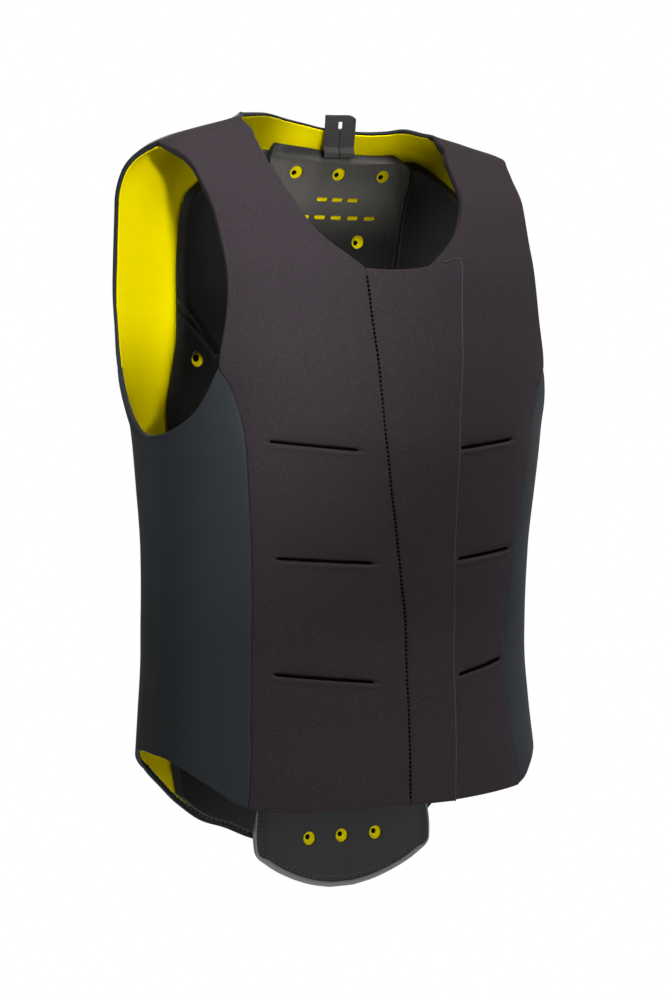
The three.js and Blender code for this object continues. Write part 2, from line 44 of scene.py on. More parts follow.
bodyPlan = {
    "length": 0.650,
    "chestHalf": 0.194,
    "frontDeep": 0.128,
    "backDeep": 0.091,
    "frontSquare": 2.5,
    "backSquare": 3.5,
    "backTurn": 9,  # the protector and the hanger sit this far round to the wearer's left
    "tailTurn": 11.2,  # and the tail this far
    "tipShift": 11 * mm,  # both shoulder tips sit this far to the wearer's right
    "tipReach": (0.55, 0.78),  # shares of chestHalf between which that sets in
    "tipFade": 0.045,
    # how far the worn shoulders stand above their even line: shares of chestHalf and of liftFade
    "liftFade": 0.045,
    "lift": [
        (-1.0, 0.0), (-0.8, 0.06), (-0.72, 0.15), (-0.6, 0.2), (-0.47, 0.19), (-0.38, 0.168),
        (-0.3, 0.198), (-0.24, 0.214), (-0.13, 0.147), (-0.015, 0.08), (0.04, 0.031), (0.1, -0.009),
        (0.16, -0.038), (0.25, -0.055), (0.33, -0.035), (0.38, 0.0), (1.0, 0.0),
    ],
    "neckLean": {"right": -2.0, "left": 0.7},  # degrees that the worn neckline leans on each side
    "leanAt": (0.029, 0.012),  # down share of the most lean, and how far it reaches
    "neckEnd": 0.19,  # where the neckline meets the closure
    # down, half width, front depth, back depth, all shares
    "sections": [
        (0.0, 0.39, 0.05, 0.46), (0.0125, 0.445, 0.07, 0.516), (0.025, 0.598, 0.133, 0.57),
        (0.0385, 0.784, 0.22, 0.637), (0.069, 0.928, 0.406, 0.747), (0.108, 0.985, 0.61, 0.835),
        (0.154, 1.0, 0.734, 0.912), (0.192, 0.995, 0.828, 0.956), (0.254, 0.964, 0.906, 0.989),
        (0.315, 0.923, 0.97, 1.0), (0.388, 0.869, 0.992, 0.956), (0.463, 0.845, 0.938, 0.934),
        (0.54, 0.828, 0.86, 0.912), (0.654, 0.832, 0.773, 0.89), (0.731, 0.85, 0.797, 0.868),
        (0.8, 0.867, 0.867, 0.846), (0.862, 0.876, 0.922, 0.835), (1.01, 0.876, 0.953, 0.747),
    ],
    # outer edge of a front panel: down, angle
    "frontEdge": [
        (0.0378, 90), (0.0425, 70), (0.0485, 58), (0.0565, 51.2), (0.067, 47.7), (0.092, 44.4), (0.123, 42),
        (0.16, 41), (0.195, 41), (0.231, 42.2), (0.27, 44.8), (0.308, 48), (0.33, 45.8), (0.366, 44.6),
        (0.42, 43.8), (0.47, 43.2), (0.54, 42.1), (0.61, 41), (0.68, 40.6), (0.75, 40.4), (0.8, 41),
        (0.834, 41.9),
    ],
    # neck edge of a front panel: down, angle
    "neckEdge": [
        (0.0123, 90), (0.0154, 62.5), (0.0215, 47.5), (0.028, 39.6), (0.04, 31), (0.052, 27.6),
        (0.068, 25.2), (0.107, 22), (0.143, 18.3), (0.161, 15), (0.175, 11.6), (0.19, 8),
    ],
    # the closure: down, angle of its seam, angle of the flap's free edge
    "closure": [
        (0.18, -8, 17.5), (0.24, -8, 16), (0.3, -7.8, 15.3), (0.37, -7.3, 14.8), (0.44, -5, 15.5),
        (0.5, -2, 16.6), (0.56, 1, 17.8), (0.63, 4, 19.3), (0.72, 4.5, 19), (0.84, 2.5, 15.7),
    ],
    # how the rows of a front panel slope: down at the side edge, down at the closure or neck
    "frontRows": [
        (0.83, 0.8355), (0.776, 0.788), (0.724, 0.742), (0.67, 0.692), (0.618, 0.638), (0.574, 0.592),
        (0.532, 0.545), (0.482, 0.496), (0.44, 0.456), (0.392, 0.41), (0.346, 0.348), (0.308, 0.292),
        (0.27, 0.24), (0.231, 0.19), (0.195, 0.16), (0.16, 0.13), (0.123, 0.1), (0.09, 0.07),
        (0.066, 0.045), (0.052, 0.028), (0.044, 0.018), (0.0385, 0.0123),
    ],
    # back edge of the armhole and the back seam: down, angle
    "backEdge": [
        (0.0378, 90), (0.042, 102), (0.049, 111), (0.059, 117.2), (0.070, 121.3), (0.084, 124.6),
        (0.102, 127.3), (0.125, 129.2), (0.154, 130.2), (0.192, 129.8), (0.231, 127.6), (0.27, 125.8),
        (0.308, 122.2), (0.4, 123.5), (0.6, 126.5), (0.82, 130),
    ],
    # bottom of the armhole: angle, down
    "armpit": [
        (48, 0.308), (53.1, 0.338), (58.7, 0.361), (66, 0.377), (76, 0.388), (88, 0.391), (97, 0.388),
        (105.4, 0.377), (113.4, 0.361), (118.5, 0.338), (122.2, 0.308),
    ],
    # lower edges of a side panel and of the back: angle, down
    "sideHem": [
        (42, 0.829), (46, 0.823), (51, 0.811), (58, 0.798), (66.5, 0.786), (78, 0.779), (97, 0.779),
        (112, 0.784), (121, 0.797), (130, 0.815),
    ],
    "backHem": [
        (130, 0.815), (134, 0.85), (139, 0.885), (145, 0.915), (152, 0.932), (164, 0.938), (180, 0.938),
        (188, 0.932), (196, 0.92), (203, 0.904), (209, 0.893), (216, 0.868), (223, 0.838), (230, 0.815),
    ],
    # back of the neck: angle, down
    "backNeck": [(90, 0.0123), (99, 0.0096), (109, 0.0058), (120, 0.002), (140, 0.0015), (180, 0.0045)],
    "armholeEven": 110,  # how many times the bends of the armhole are evened out
    "neckEven": 24,
    "frontLow": 0.83,
    "hemBulge": 0.005,  # the right panel's hem hangs this share lower between its ends
    "hemBulgeFade": 0.15,
    "flapLow": 0.8355,
    "flapTop": (0.003, 0.012, 0.1),  # how its top edge rises, then falls, and the share over which that fades
    "lapUnder": 0.68,  # the left panel starts under this share of the flap's width
    "lapFade": 0.03,
    "sideLow": 0.829,
    "sideTop": 0.308,  # the armhole's straight parts end here
    "backSeamLow": 0.815,
    "hemFade": (0.527, 0.568, 0.611, 0.662, 0.715, 0.766, 0.815),  # the back's rows bend into its hem
    "neckFade": 0.025,
}
bodyLength = bodyPlan["length"]


def smoothLine(rows, column, x):  # a smooth line through table rows, at x in their first column
    table = np.array(sorted(rows), float)
    xs, ys = table[:, 0], table[:, column]
    x = np.clip(np.asarray(x, float), xs[0], xs[-1])
    slopes = np.diff(ys) / np.diff(xs)
    before, after = slopes[:-1], slopes[1:]
    same = before * after > 0
    tangents = np.concatenate([slopes[:1], np.zeros(len(xs) - 2), slopes[-1:]])
    tangents[1:-1] = np.where(same, 2 * before * after / np.where(same, before + after, 1), 0)
    i = np.clip(np.searchsorted(xs, x) - 1, 0, len(xs) - 2)
    h = xs[i + 1] - xs[i]
    t = (x - xs[i]) / h
    s = 1 - t
    return (ys[i] * s * s * (1 + 2 * t) + ys[i + 1] * t * t * (3 - 2 * t)
            + h * (tangents[i] * t * s * s - tangents[i + 1] * t * t * s))


def bodyLine(name, x, column=1):  # a line of the body plan at x
    return smoothLine(bodyPlan[name], column, x)


def mix(a, b, t):
    return a + (b - a) * t


def ease(x, low=0.0, high=1.0):
    t = np.clip((x - low) / (high - low), 0, 1)
    return t * t * (3 - 2 * t)


def hump(x, middle, width):
    return np.exp(-(((x - middle) / width) ** 2))


def bodyPoint(angle, down, out=0.0):  # points on the body form, and its outward normals
    angle, down, out = np.broadcast_arrays(*[np.asarray(a, float) for a in (angle, down, out)])
    share = np.maximum(0, down) / bodyLength
    turn = np.radians(angle)
    c, s = np.cos(turn), np.sin(turn)
    front = c >= 0
    n = np.where(front, bodyPlan["frontSquare"], bodyPlan["backSquare"])

    def halfAt(q):
        return bodyLine("sections", q) * bodyPlan["chestHalf"]

    def deepAt(q):
        return np.where(front, bodyLine("sections", q, 2) * bodyPlan["frontDeep"],
                        bodyLine("sections", q, 3) * bodyPlan["backDeep"])

    half, deep = halfAt(share), deepAt(share)
    r = (np.abs(s) ** n + np.abs(c) ** n) ** (-1 / n)
    x, y = half * r * s, -deep * r * c
    low = np.maximum(0, share - 0.002)
    run = (share + 0.002 - low) * bodyLength
    halfSlope = (halfAt(share + 0.002) - halfAt(low)) / run
    deepSlope = (deepAt(share + 0.002) - deepAt(low)) / run
    normal = np.stack([
        np.sign(x) * np.abs(x / half) ** (n - 1) / half,
        np.sign(y) * np.abs(y / deep) ** (n - 1) / deep,
        np.abs(x / half) ** n * halfSlope / half + np.abs(y / deep) ** n * deepSlope / deep,
    ], -1)
    normal /= np.linalg.norm(normal, axis=-1, keepdims=True)
    fade = ease(1 - np.maximum(0, down) / bodyPlan["liftFade"])
    tips = ease(np.abs(x) / bodyPlan["chestHalf"], *bodyPlan["tipReach"])
    tips *= ease(1 - down / bodyPlan["tipFade"])
    x = x - bodyPlan["tipShift"] * tips
    lift = bodyLine("lift", x / bodyPlan["chestHalf"]) * bodyPlan["liftFade"] * fade
    return np.stack([x, y, lift - down], -1) + normal * out[..., None], normal


def lengthsAlong(points):
    return np.concatenate([[0], np.cumsum(np.linalg.norm(np.diff(points, axis=0), axis=1))])


def evened(angle, down, passes):  # an edge over the shoulder with its bends evened out
    run = lengthsAlong(bodyPoint(angle, down * bodyLength)[0])
    spots = np.linspace(0, run[-1], int(run[-1] / mm))
    angle, down = np.interp(spots, run, angle), np.interp(spots, run, down)
    for i in range(passes):
        for line in (angle, down):
            line[1:-1] = (line[:-2] + 2 * line[1:-1] + line[2:]) / 4
    return angle, down


def overShoulder():  # the armhole and the neck edge, each from the front over the shoulder to the back
    front, back, neckRows = [bodyPlan[name] for name in ("frontEdge", "backEdge", "neckEdge")]
    fall = np.linspace(bodyPlan["sideTop"], front[0][0], 900)
    armhole = evened(np.concatenate([smoothLine(front, 1, fall), smoothLine(back, 1, fall[::-1])]),
                     np.concatenate([fall, fall[::-1]]), bodyPlan["armholeEven"])
    rise = np.linspace(bodyPlan["neckEnd"], neckRows[0][0], 900)
    turn = np.linspace(90, 180, 600)
    neck = evened(np.concatenate([smoothLine(neckRows, 1, rise), turn]),
                  np.concatenate([rise, bodyLine("backNeck", turn)]), bodyPlan["neckEven"])
    return armhole, neck


armholeLine, neckLine = overShoulder()
bodyPlan["frontTop"] = float(np.interp(90, *armholeLine))
bodyPlan["neckTop"] = float(np.interp(90, *neckLine))
bodyPlan["frontRows"][-1] = (bodyPlan["frontTop"], bodyPlan["neckTop"])


def oneSide(line, tip, back=False):  # the front or back half of such an edge: rising down shares, angles
    keep = line[0] >= 90 if back else line[0] <= 90
    downs, angles = np.append(line[1][keep], tip), np.append(line[0][keep], 90)
    order = np.argsort(downs)
    return downs[order], angles[order]


armholeFront = oneSide(armholeLine, bodyPlan["frontTop"])
armholeBack = oneSide(armholeLine, bodyPlan["frontTop"], True)
neckFront = oneSide(neckLine, bodyPlan["neckTop"])


def frontEdge(share):
    return np.where(share < bodyPlan["sideTop"], np.interp(share, *armholeFront),
                    bodyLine("frontEdge", share))


def backEdge(share):
    return np.where(share < bodyPlan["sideTop"], np.interp(share, *armholeBack),
                    bodyLine("backEdge", share))


# Places on each piece: u runs across it and v up it, both from 0 to 1. Each gives angle and down.

def frontSpread(v):  # down shares of a row of a front panel at its side edge and at its middle
    side = mix(bodyPlan["frontLow"], bodyPlan["frontTop"], v)
    return side, bodyLine("frontRows", side)


def neckAngle(share, side):  # the neckline of a front panel, with its lean
    return np.interp(share, *neckFront) + bodyPlan["neckLean"][side] * hump(share, *bodyPlan["leanAt"])


def rightPlace(u, v):
    side, centre = frontSpread(v)
    inner = np.where(centre >= bodyPlan["neckEnd"], bodyLine("closure", centre),
                     -neckAngle(centre, "right"))
    edge = -frontEdge(side)
    low = np.maximum(0, 1 - (bodyPlan["frontLow"] - side) / bodyPlan["hemBulgeFade"])
    bulge = low * bodyPlan["hemBulge"] * np.sin(np.pi * u * u)
    return mix(inner, edge, u), (mix(centre, side, u) + bulge) * bodyLength


def flapSpot(centre, share):
    rise, fall, fade = bodyPlan["flapTop"]
    top = np.maximum(0, 1 - (centre - bodyPlan["neckEnd"]) / fade)
    dip = rise * np.sin(np.pi * np.minimum(1, share * 1.3)) - fall * share ** 3
    seam, free = [bodyLine("closure", centre, column) for column in (1, 2)]
    return mix(seam, free, share), (centre + top * dip) * bodyLength


def flapPlace(u, v):
    return flapSpot(mix(bodyPlan["flapLow"], bodyPlan["neckEnd"], v), u)


def leftPlace(u, v):
    side, centre = frontSpread(v)
    start = bodyPlan["neckEnd"]
    under = ease(centre, start, start + bodyPlan["lapFade"])
    lapAngle, lapDown = flapSpot(np.maximum(centre, start), bodyPlan["lapUnder"])
    inner = mix(neckAngle(centre, "left"), lapAngle, under)
    innerDown = mix(centre * bodyLength, lapDown, under)
    return mix(inner, frontEdge(side), u), mix(innerDown, side * bodyLength, u)


def seamDown(share):
    low, top = bodyPlan["sideLow"], bodyPlan["sideTop"]
    return mix(bodyPlan["backSeamLow"], top, (low - share) / (low - top))


def across(name, u):  # down shares along a hem or an armpit, from its first angle to its last
    rows = bodyPlan[name]
    return smoothLine(rows, 1, mix(rows[0][0], rows[-1][0], u))


def sidePlace(u, v):
    share = mix(bodyPlan["sideLow"], bodyPlan["sideTop"], v)
    start = bodyLine("frontEdge", share)
    end = bodyLine("backEdge", seamDown(share))
    return mix(start, end, u), mix(across("sideHem", u), across("armpit", u), v) * bodyLength


def mirrorPlace(place):
    def turned(u, v):
        angle, down = place(u, v)
        return -angle, down
    return turned


def backPlace(u, v):
    share = mix(bodyPlan["backSeamLow"], bodyPlan["neckTop"], v)
    edge = backEdge(share)
    angle = mix(edge, 360 - edge, u)
    bend = np.interp(share, bodyPlan["hemFade"], np.arange(7) / 6)
    down = share + (across("backHem", u) - bodyPlan["backSeamLow"]) * bend
    neck = np.interp(np.where(angle > 180, 360 - angle, angle), *neckLine)
    top = bodyPlan["neckFade"]
    return angle, mix(down, neck, np.clip((top - share) / (top - bodyPlan["neckTop"]), 0, 1)) * bodyLength


foamPlan = {
    "thick": 8 * mm,
    "face": 13.9 * mm,  # how far inside the body form the face against the wearer lies
    # down, then angles from the protector's middle: seam of a wing, outer edge on the left, on the right
    "outline": [
        (0.9, 16.5, 42, 47), (0.84, 16.5, 46, 49.5), (0.74, 16.5, 47, 48.5), (0.62, 16.5, 46.5, 48),
        (0.5, 16.5, 46.5, 48), (0.4, 16.5, 47.5, 48.5), (0.36, 16.5, 46.5, 47.3), (0.33, 16.5, 44.5, 44.9),
        (0.3, 16.5, 42.5, 42.8), (0.27, 16.5, 41, 41.2), (0.2, 16.5, 40, 40.2), (0.15, 16.8, 39.6, 40.2),
        (0.115, 17.2, 38.3, 40.5), (0.09, 18, 35.8, 40.3), (0.073, 19, 33, 38.6), (0.058, 20.5, 30.8, 36.4),
        (0.045, 22.2, 29, 34.4), (0.034, 24, 27.4, 32.9), (0.0262, 25.5, 26.5, 31.5),
    ],
    "low": 0.9, "wingTop": 0.034, "top": 0.0262,
    "tailOutline": [
        (0.885, 25.8), (0.92, 26.5), (0.938, 26.3), (0.948, 25.2), (0.953, 23.8), (0.9645, 20.4),
        (0.978, 14.8), (0.988, 8.6), (0.9925, 3.5),
    ],
    "tailTop": 0.885, "tailLow": 0.9925,
    "tailReach": 27.2,  # half of the tail's width and a little room, as an angle
    "waist": 0.62,
    "hemGap": 0.008,
    "rim": 1.5 * mm,
    "seamRim": 0.6 * mm,
    "taper": 4.6 * mm,
    "taperWide": 7 * mm,
    "channel": 6.0 * mm,  # pressed band beside each wing's seam
    "channelDeep": 1.1 * mm,
    "holeRadius": 6.2 * mm,
    "slot": (11.5 * mm, 4.2 * mm),
    "cut": (14 * mm, 6 * mm),  # length of a cutter and how far it stands out
    "holeLip": 0.8 * mm,
    "slotLip": 0.55 * mm,
    "creaseWide": 1.5 * mm,
    "creaseDeep": 1.7 * mm,
    "topHoles": [(-13.4, 0.0513), (0, 0.0505), (13.4, 0.0513), (-6.3, 0.1405), (6.3, 0.1405)],
    "slots": [(-4.3, 0.086), (0, 0.086), (4.3, 0.086)]
             + [(angle, 0.1095) for angle in (-9, -4.5, 0, 4.5, 9)],
    "wingHole": (37, 0.2988),
    "tailHoles": [(-10.2, 0.9265), (0, 0.9265), (10.2, 0.9265)],
    # pairs of creases pressed into a wing: angle and down in metres, start and end
    "creases": [((41, 0.137), (25, 0.2245)), ((41, 0.152), (27, 0.209))],
}
backMiddle = 180 - bodyPlan["backTurn"]
tailMiddle = 180 - bodyPlan["tailTurn"]


def foamEdge(column, share):  # 1 the wing's seam, 2 the outer edge on the left, 3 on the right
    return smoothLine(foamPlan["outline"], column, share)


def foamDown(share, angle):  # below the waist the rows bend to follow the hem and to clear the tail
    plan = foamPlan
    reach = np.clip((share - plan["waist"]) / (plan["low"] - plan["waist"]), 0, 1)
    hem = bodyLine("backHem", angle) - plan["hemGap"]
    even = np.minimum(plan["low"], hem)
    beyond = np.clip((np.abs(angle - tailMiddle) - plan["tailReach"] + 0.6) / 1.2, 0, 1)
    edge = mix(plan["tailTop"] - 0.002, hem, beyond)
    bent = mix(plan["waist"], even, reach) + (edge - even) * reach ** 8
    return np.where(share > plan["waist"], bent, share)


def middlePlace(u, v):
    share = mix(foamPlan["low"], foamPlan["top"], v)
    seam = foamEdge(1, share)
    angle = backMiddle + mix(-seam, seam, u)
    return angle, foamDown(share, angle) * bodyLength


def wingPlace(side):
    def place(u, v):
        share = mix(foamPlan["low"], foamPlan["wingTop"], v)
        angle = backMiddle + side * mix(foamEdge(1, share), foamEdge(2 if side < 0 else 3, share), u)
        return angle, foamDown(share, angle) * bodyLength
    return place


def tailPlace(u, v):
    share = mix(foamPlan["tailLow"], foamPlan["tailTop"], v)
    edge = smoothLine(foamPlan["tailOutline"], 1, share)
    return tailMiddle + mix(-edge, edge, u), share * bodyLength


edgeLines = np.array([0, 0.25, 0.7, 1.3, 2.1, 3.2]) * mm


def layGrid(place, gap, rowGap, inset=(0.15 * mm,) * 4, grooves=(), grooveLines=(), band=None):
    # a grid over a piece: lines close together at its rims and grooves, about gap apart elsewhere
    fine = np.linspace(0, 1, 801)
    strides = [np.linalg.norm(np.diff(bodyPoint(*place(np.full(801, u), fine))[0], axis=0), axis=1)
               for u in (0.0, 0.5, 1.0)]
    along = np.concatenate([[0], np.cumsum(np.maximum.reduce(strides))])
    start, end = inset[2], along[-1] - inset[3]
    low, high = start + edgeLines[-1], end - edgeLines[-1]
    lines = np.linspace(low, high, max(2, int(round((high - low) / rowGap))) + 1)
    if band:  # rows set closer together between two heights
        first, last = sorted(np.interp(band[:2], fine, along))
        lines = np.concatenate([lines[(lines < first) | (lines > last)],
                                np.arange(first, last, band[2])])
    for v in grooves:
        spot = np.interp(v, fine, along)
        lines = lines[np.abs(lines - spot) > max(grooveLines) + 0.4 * mm]
        lines = np.concatenate([lines, spot + np.array(grooveLines)])
    lines = np.concatenate([start + edgeLines, lines[(lines > low) & (lines < high)], [low, high],
                            end - edgeLines])
    lines = np.unique(np.round(lines, 6))
    vs = np.interp(lines, along, fine)
    cross = np.linspace(0, 1, 201)
    rows = [lengthsAlong(bodyPoint(*place(cross, np.full(201, v)))[0]) for v in vs]
    count = max(3, int(round((max(row[-1] for row in rows) - 2 * edgeLines[-1]) / gap)))
    us = []
    for reach in rows:
        left, right = inset[0], reach[-1] - inset[1]
        inner = np.linspace(left + edgeLines[-1], right - edgeLines[-1], count + 1)
        spots = np.concatenate([left + edgeLines[:-1], inner, right - edgeLines[-2::-1]])
        us.append(np.interp(spots, reach, cross))
    u = np.array(us)
    v = np.repeat(vs[:, None], u.shape[1], 1)
    angle, down = place(u, v)
    points = bodyPoint(angle, down)[0]
    acrossRun = np.cumsum(np.linalg.norm(np.diff(points, axis=1), axis=2), 1)
    acrossRun = np.concatenate([np.zeros((len(u), 1)), acrossRun], 1)
    upRun = np.cumsum(np.linalg.norm(np.diff(points, axis=0), axis=2), 0)
    upRun = np.concatenate([np.zeros((1, u.shape[1])), upRun], 0)
    return {"u": u, "v": v, "angle": angle, "down": down, "place": (angle, down), "left": acrossRun,
            "right": acrossRun[:, -1:] - acrossRun, "low": upRun, "top": upRun[-1:] - upRun}


def rimDrop(distance, radius):  # how far a rounded rim has fallen away at a distance from the edge
    x = np.clip(1 - distance / radius, 0, 1)
    return radius * (1 - np.sqrt(1 - x * x))


def toEdge(grid, sides=("left", "right", "low", "top")):
    return np.minimum.reduce([grid[side] for side in sides])


def ripple(angle, down, size, turn=0.0):  # slow hand-made unevenness
    a, d = np.radians(angle), down / 0.1
    return size * (0.5 * np.sin(3.1 * d + 2.3 * a + turn) + 0.3 * np.sin(5.3 * d - 3.7 * a + 1.7 + turn)
                   + 0.2 * np.sin(9.1 * d + 6.1 * a + 0.4 + turn))


def closedGrid(outer, inner):  # a closed mesh between two grids of points
    rows, columns = outer.shape[0] - 1, outer.shape[1] - 1
    verts = np.concatenate([outer.reshape(-1, 3), inner.reshape(-1, 3)])
    ids = np.arange(len(verts)).reshape(2, rows + 1, columns + 1)
    a, b = ids
    quads = [
        np.stack([a[:-1, :-1], a[:-1, 1:], a[1:, 1:], a[1:, :-1]], -1).reshape(-1, 4),
        np.stack([b[:-1, :-1], b[1:, :-1], b[1:, 1:], b[:-1, 1:]], -1).reshape(-1, 4),
        np.stack([a[:-1, 0], a[1:, 0], b[1:, 0], b[:-1, 0]], -1),
        np.stack([a[:-1, -1], b[:-1, -1], b[1:, -1], a[1:, -1]], -1),
        np.stack([a[0, :-1], b[0, :-1], b[0, 1:], a[0, 1:]], -1),
        np.stack([a[-1, :-1], a[-1, 1:], b[-1, 1:], b[-1, :-1]], -1),
    ]
    faces = np.concatenate(quads)
    p = verts[faces]
    volume = np.einsum("ij,ij->i", p[:, 0], np.cross(p[:, 1], p[:, 2])).sum()
    volume += np.einsum("ij,ij->i", p[:, 0], np.cross(p[:, 2], p[:, 3])).sum()
    return verts, faces[:, ::-1] if volume < 0 else faces


def addPiece(name, verts, faces, finish, slot, nodes=()):
    mesh = bpy.data.meshes.new(name)
    mesh.from_pydata([tuple(v) for v in verts], [], [tuple(int(i) for i in f) for f in faces])
    mesh.validate()
    mesh.update()
    mesh.shade_smooth()
    piece = bpy.data.objects.new(name, mesh)
    bpy.context.scene.collection.objects.link(piece)
    mesh.materials.append(finish)
    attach(piece, "root")
    if nodes:
        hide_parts(*nodes)
    return piece


def gridPiece(name, node, grid, outer, inner, finish, slot):  # a piece between two heights over a grid
    faces = [bodyPoint(*grid["place"], out)[0] for out in (outer, inner)]
    return addPiece(name, *closedGrid(*faces), finish, slot, [node])


# Camera, at the photograph's angle.

cameraPlan = {"azimuth": -26, "elevation": 3, "distance": 1.9, "target": (0, 0, -0.3),
              "lens": 83.4, "moved": (4, 11.4), "pixelsPerMetre": 1220}


def placeCamera():
    plan = cameraPlan
    a, e = math.radians(plan["azimuth"]), math.radians(plan["elevation"])
    back = Vector((math.sin(a) * math.cos(e), -math.cos(a) * math.cos(e), math.sin(e)))
    right = Vector((math.cos(a), math.sin(a), 0))
    up = back.cross(right)
    target = Vector(plan["target"])
    spot = target + back * plan["distance"]
    aim = target - (right * plan["moved"][0] + up * plan["moved"][1]) / plan["pixelsPerMetre"]
    lens = bpy.data.cameras.new("camera")
    lens.sensor_fit, lens.sensor_width, lens.lens = "AUTO", 36, plan["lens"]
    lens.clip_start, lens.clip_end = 0.05, 60
    camera = bpy.data.objects.new("camera", lens)
    bpy.context.scene.collection.objects.link(camera)
    camera.location = spot
    camera.rotation_mode = "QUATERNION"
    camera.rotation_quaternion = (aim - spot).to_track_quat("-Z", "Y")
    bpy.context.scene.camera = camera


placeCamera()
print("camera placed")


# Finishes.

class Sock:  # a shader socket that can stand in a sum
    def __init__(self, owner, socket):
        self.owner, self.socket = owner, socket

    def math(self, operation, *values):
        return self.owner.make("Math", {"operation": operation}, dict(enumerate(values)))

    def __add__(self, other):
        return self.math("ADD", self, other)

    def __radd__(self, other):
        return self.math("ADD", other, self)

    def __sub__(self, other):
        return self.math("SUBTRACT", self, other)

    def __rsub__(self, other):
        return self.math("SUBTRACT", other, self)

    def __mul__(self, other):
        return self.math("MULTIPLY", self, other)

    def __rmul__(self, other):
        return self.math("MULTIPLY", other, self)

    def sine(self):
        return self.math("SINE", self)

    def between(self, low, high):  # 0 below low, 1 above high
        return self.owner.make("MapRange", {"interpolation_type": "SMOOTHSTEP"},
                               {"Value": self, "From Min": low, "From Max": high})


class Nodes:
    def __init__(self, tree):
        self.tree = tree
        tree.nodes.clear()

    def put(self, socket, value):
        if isinstance(value, Sock):
            self.tree.links.new(value.socket, socket)
        elif isinstance(value, tuple) and len(value) == 3 and len(socket.default_value) == 4:
            socket.default_value = (*value, 1)
        else:
            socket.default_value = value

    def make(self, kind, settings, values, output=0):
        node = self.tree.nodes.new("ShaderNode" + kind)
        for name, setting in settings.items():
            setattr(node, name, setting)
        for name, value in values.items():
            self.put(node.inputs[name], value)
        return Sock(self, node.outputs[output]) if node.outputs else None

    def blend(self, factor, first, second):  # two colours
        return self.make("Mix", {"data_type": "RGBA"}, {0: factor, 6: first, 7: second}, 2)

    def noise(self, spot, scale, detail=2.0, rough=0.5):
        return self.make("TexNoise", {}, {"Vector": spot, "Scale": scale, "Detail": detail,
                                          "Roughness": rough})

    def stretched(self, spot, by):
        return self.make("VectorMath", {"operation": "MULTIPLY"}, {0: spot, 1: by})


class Finish(Nodes):
    def __init__(self, name):
        self.material = bpy.data.materials.new(name)
        self.material.use_nodes = True
        super().__init__(self.material.node_tree)
        self.spot = self.make("TexCoord", {}, {}, "Object")
        self.x, self.y, self.z = [self.make("SeparateXYZ", {}, {0: self.spot}, i) for i in range(3)]

    def roundBody(self):  # distance round the body, about, from the centre front
        return self.x.math("ARCTAN2", self.x, self.y * -1) * 0.15

    def shade(self, colour, roughness, height, bump, gloss, sheen=0.0, sheenRough=0.5, sheenTint=(1, 1, 1)):
        normal = self.make("Bump", {}, {"Height": height, "Strength": bump[0], "Distance": bump[1]})
        surface = self.make("BsdfPrincipled", {}, {
            "Base Color": colour, "Roughness": roughness, "Normal": normal, "Specular IOR Level": gloss,
            "Sheen Weight": sheen, "Sheen Roughness": sheenRough, "Sheen Tint": sheenTint})
        self.make("OutputMaterial", {}, {"Surface": surface})
        return self.material


def paintedShadeMask(f, amount):  # painted shade on the lining: a mask that darkens it under both shoulders and in the right armpit, where shade falls in the hollows
    right = f.x.between(-0.155, -0.12) * amount["arm"]
    right = right + f.x.between(-0.09, -0.06) * (amount["neck"] - amount["arm"])
    right = right * (1 - f.x.between(-0.05, -0.005))
    left = f.x.between(0.078, 0.115) * amount["neck"]
    armpit = (1 - f.x.between(-0.12, -0.08)) * (1 - f.z.between(-0.24, -0.15)) * f.z.between(-0.45, -0.35)
    return (right + left) * f.z.between(-0.10, -0.03) + armpit * amount["armpit"]


def clothFinish(name, plan):  # a woven or knitted cloth with mixed fibres
    f = Finish(name)
    turns = 2 * math.pi / plan["weave"]
    warp, weft = (f.roundBody() * turns).sine(), (f.z * turns).sine()
    weave = warp * weft * 0.5 + 0.5
    fibre = f.noise(f.stretched(f.spot, (1, 1, plan["fibreLong"])), plan["fibre"], 3.0, 0.6)
    patch = f.noise(f.spot, plan["patch"], 3.0)
    speck = f.noise(f.spot, plan["speck"], 1.0).between(0.66, 0.74)
    colour = f.blend(fibre.between(0.32, 0.68), plan["dark"], plan["light"])
    colour = f.blend(patch.between(0.3, 0.75) * plan["patchAmount"], colour, plan["patchShade"])
    colour = f.blend(speck * plan["speckAmount"], colour, plan["speckShade"])
    # painted shade: the lining is darkened by that mask, standing in for shade in its hollows
    if "paintedShade" in plan:
        colour = f.blend(paintedShadeMask(f, plan["paintedShade"]), colour, plan["paintedShade"]["shade"])
    height = weave * 0.6 + fibre * 0.8
    return f.shade(colour, fibre * 0.2 + (plan["rough"] - 0.1), height, plan["bump"], plan["gloss"],
                   plan["sheen"], plan["sheenRough"], plan["sheenTint"])


frontClothPlan = {
    "dark": (0.0185, 0.0142, 0.0170), "light": (0.0275, 0.0213, 0.0252), "fibre": 1000, "fibreLong": 0.6,
    "patch": 14, "patchAmount": 0.2, "patchShade": (0.024, 0.0192, 0.0235),
    "speck": 560, "speckAmount": 0.3, "speckShade": (0.06, 0.045, 0.053),
    "weave": 1.3 * mm, "bump": (0.3, 0.18 * mm), "rough": 0.88, "gloss": 0.12,
    "sheen": 0.03, "sheenRough": 0.45, "sheenTint": (0.85, 0.8, 0.9),
}
sideClothPlan = {
    "dark": (0.0130, 0.0158, 0.0182), "light": (0.0165, 0.0200, 0.0230), "fibre": 1000, "fibreLong": 1.0,
    "patch": 9, "patchAmount": 0.3, "patchShade": (0.0180, 0.0215, 0.0250),
    "speck": 500, "speckAmount": 0.06, "speckShade": (0.03, 0.034, 0.04),
    "weave": 1.1 * mm, "bump": (0.15, 0.1 * mm), "rough": 0.68, "gloss": 0.2,
    "sheen": 0.04, "sheenRough": 0.35, "sheenTint": (0.8, 0.88, 1.0),
}
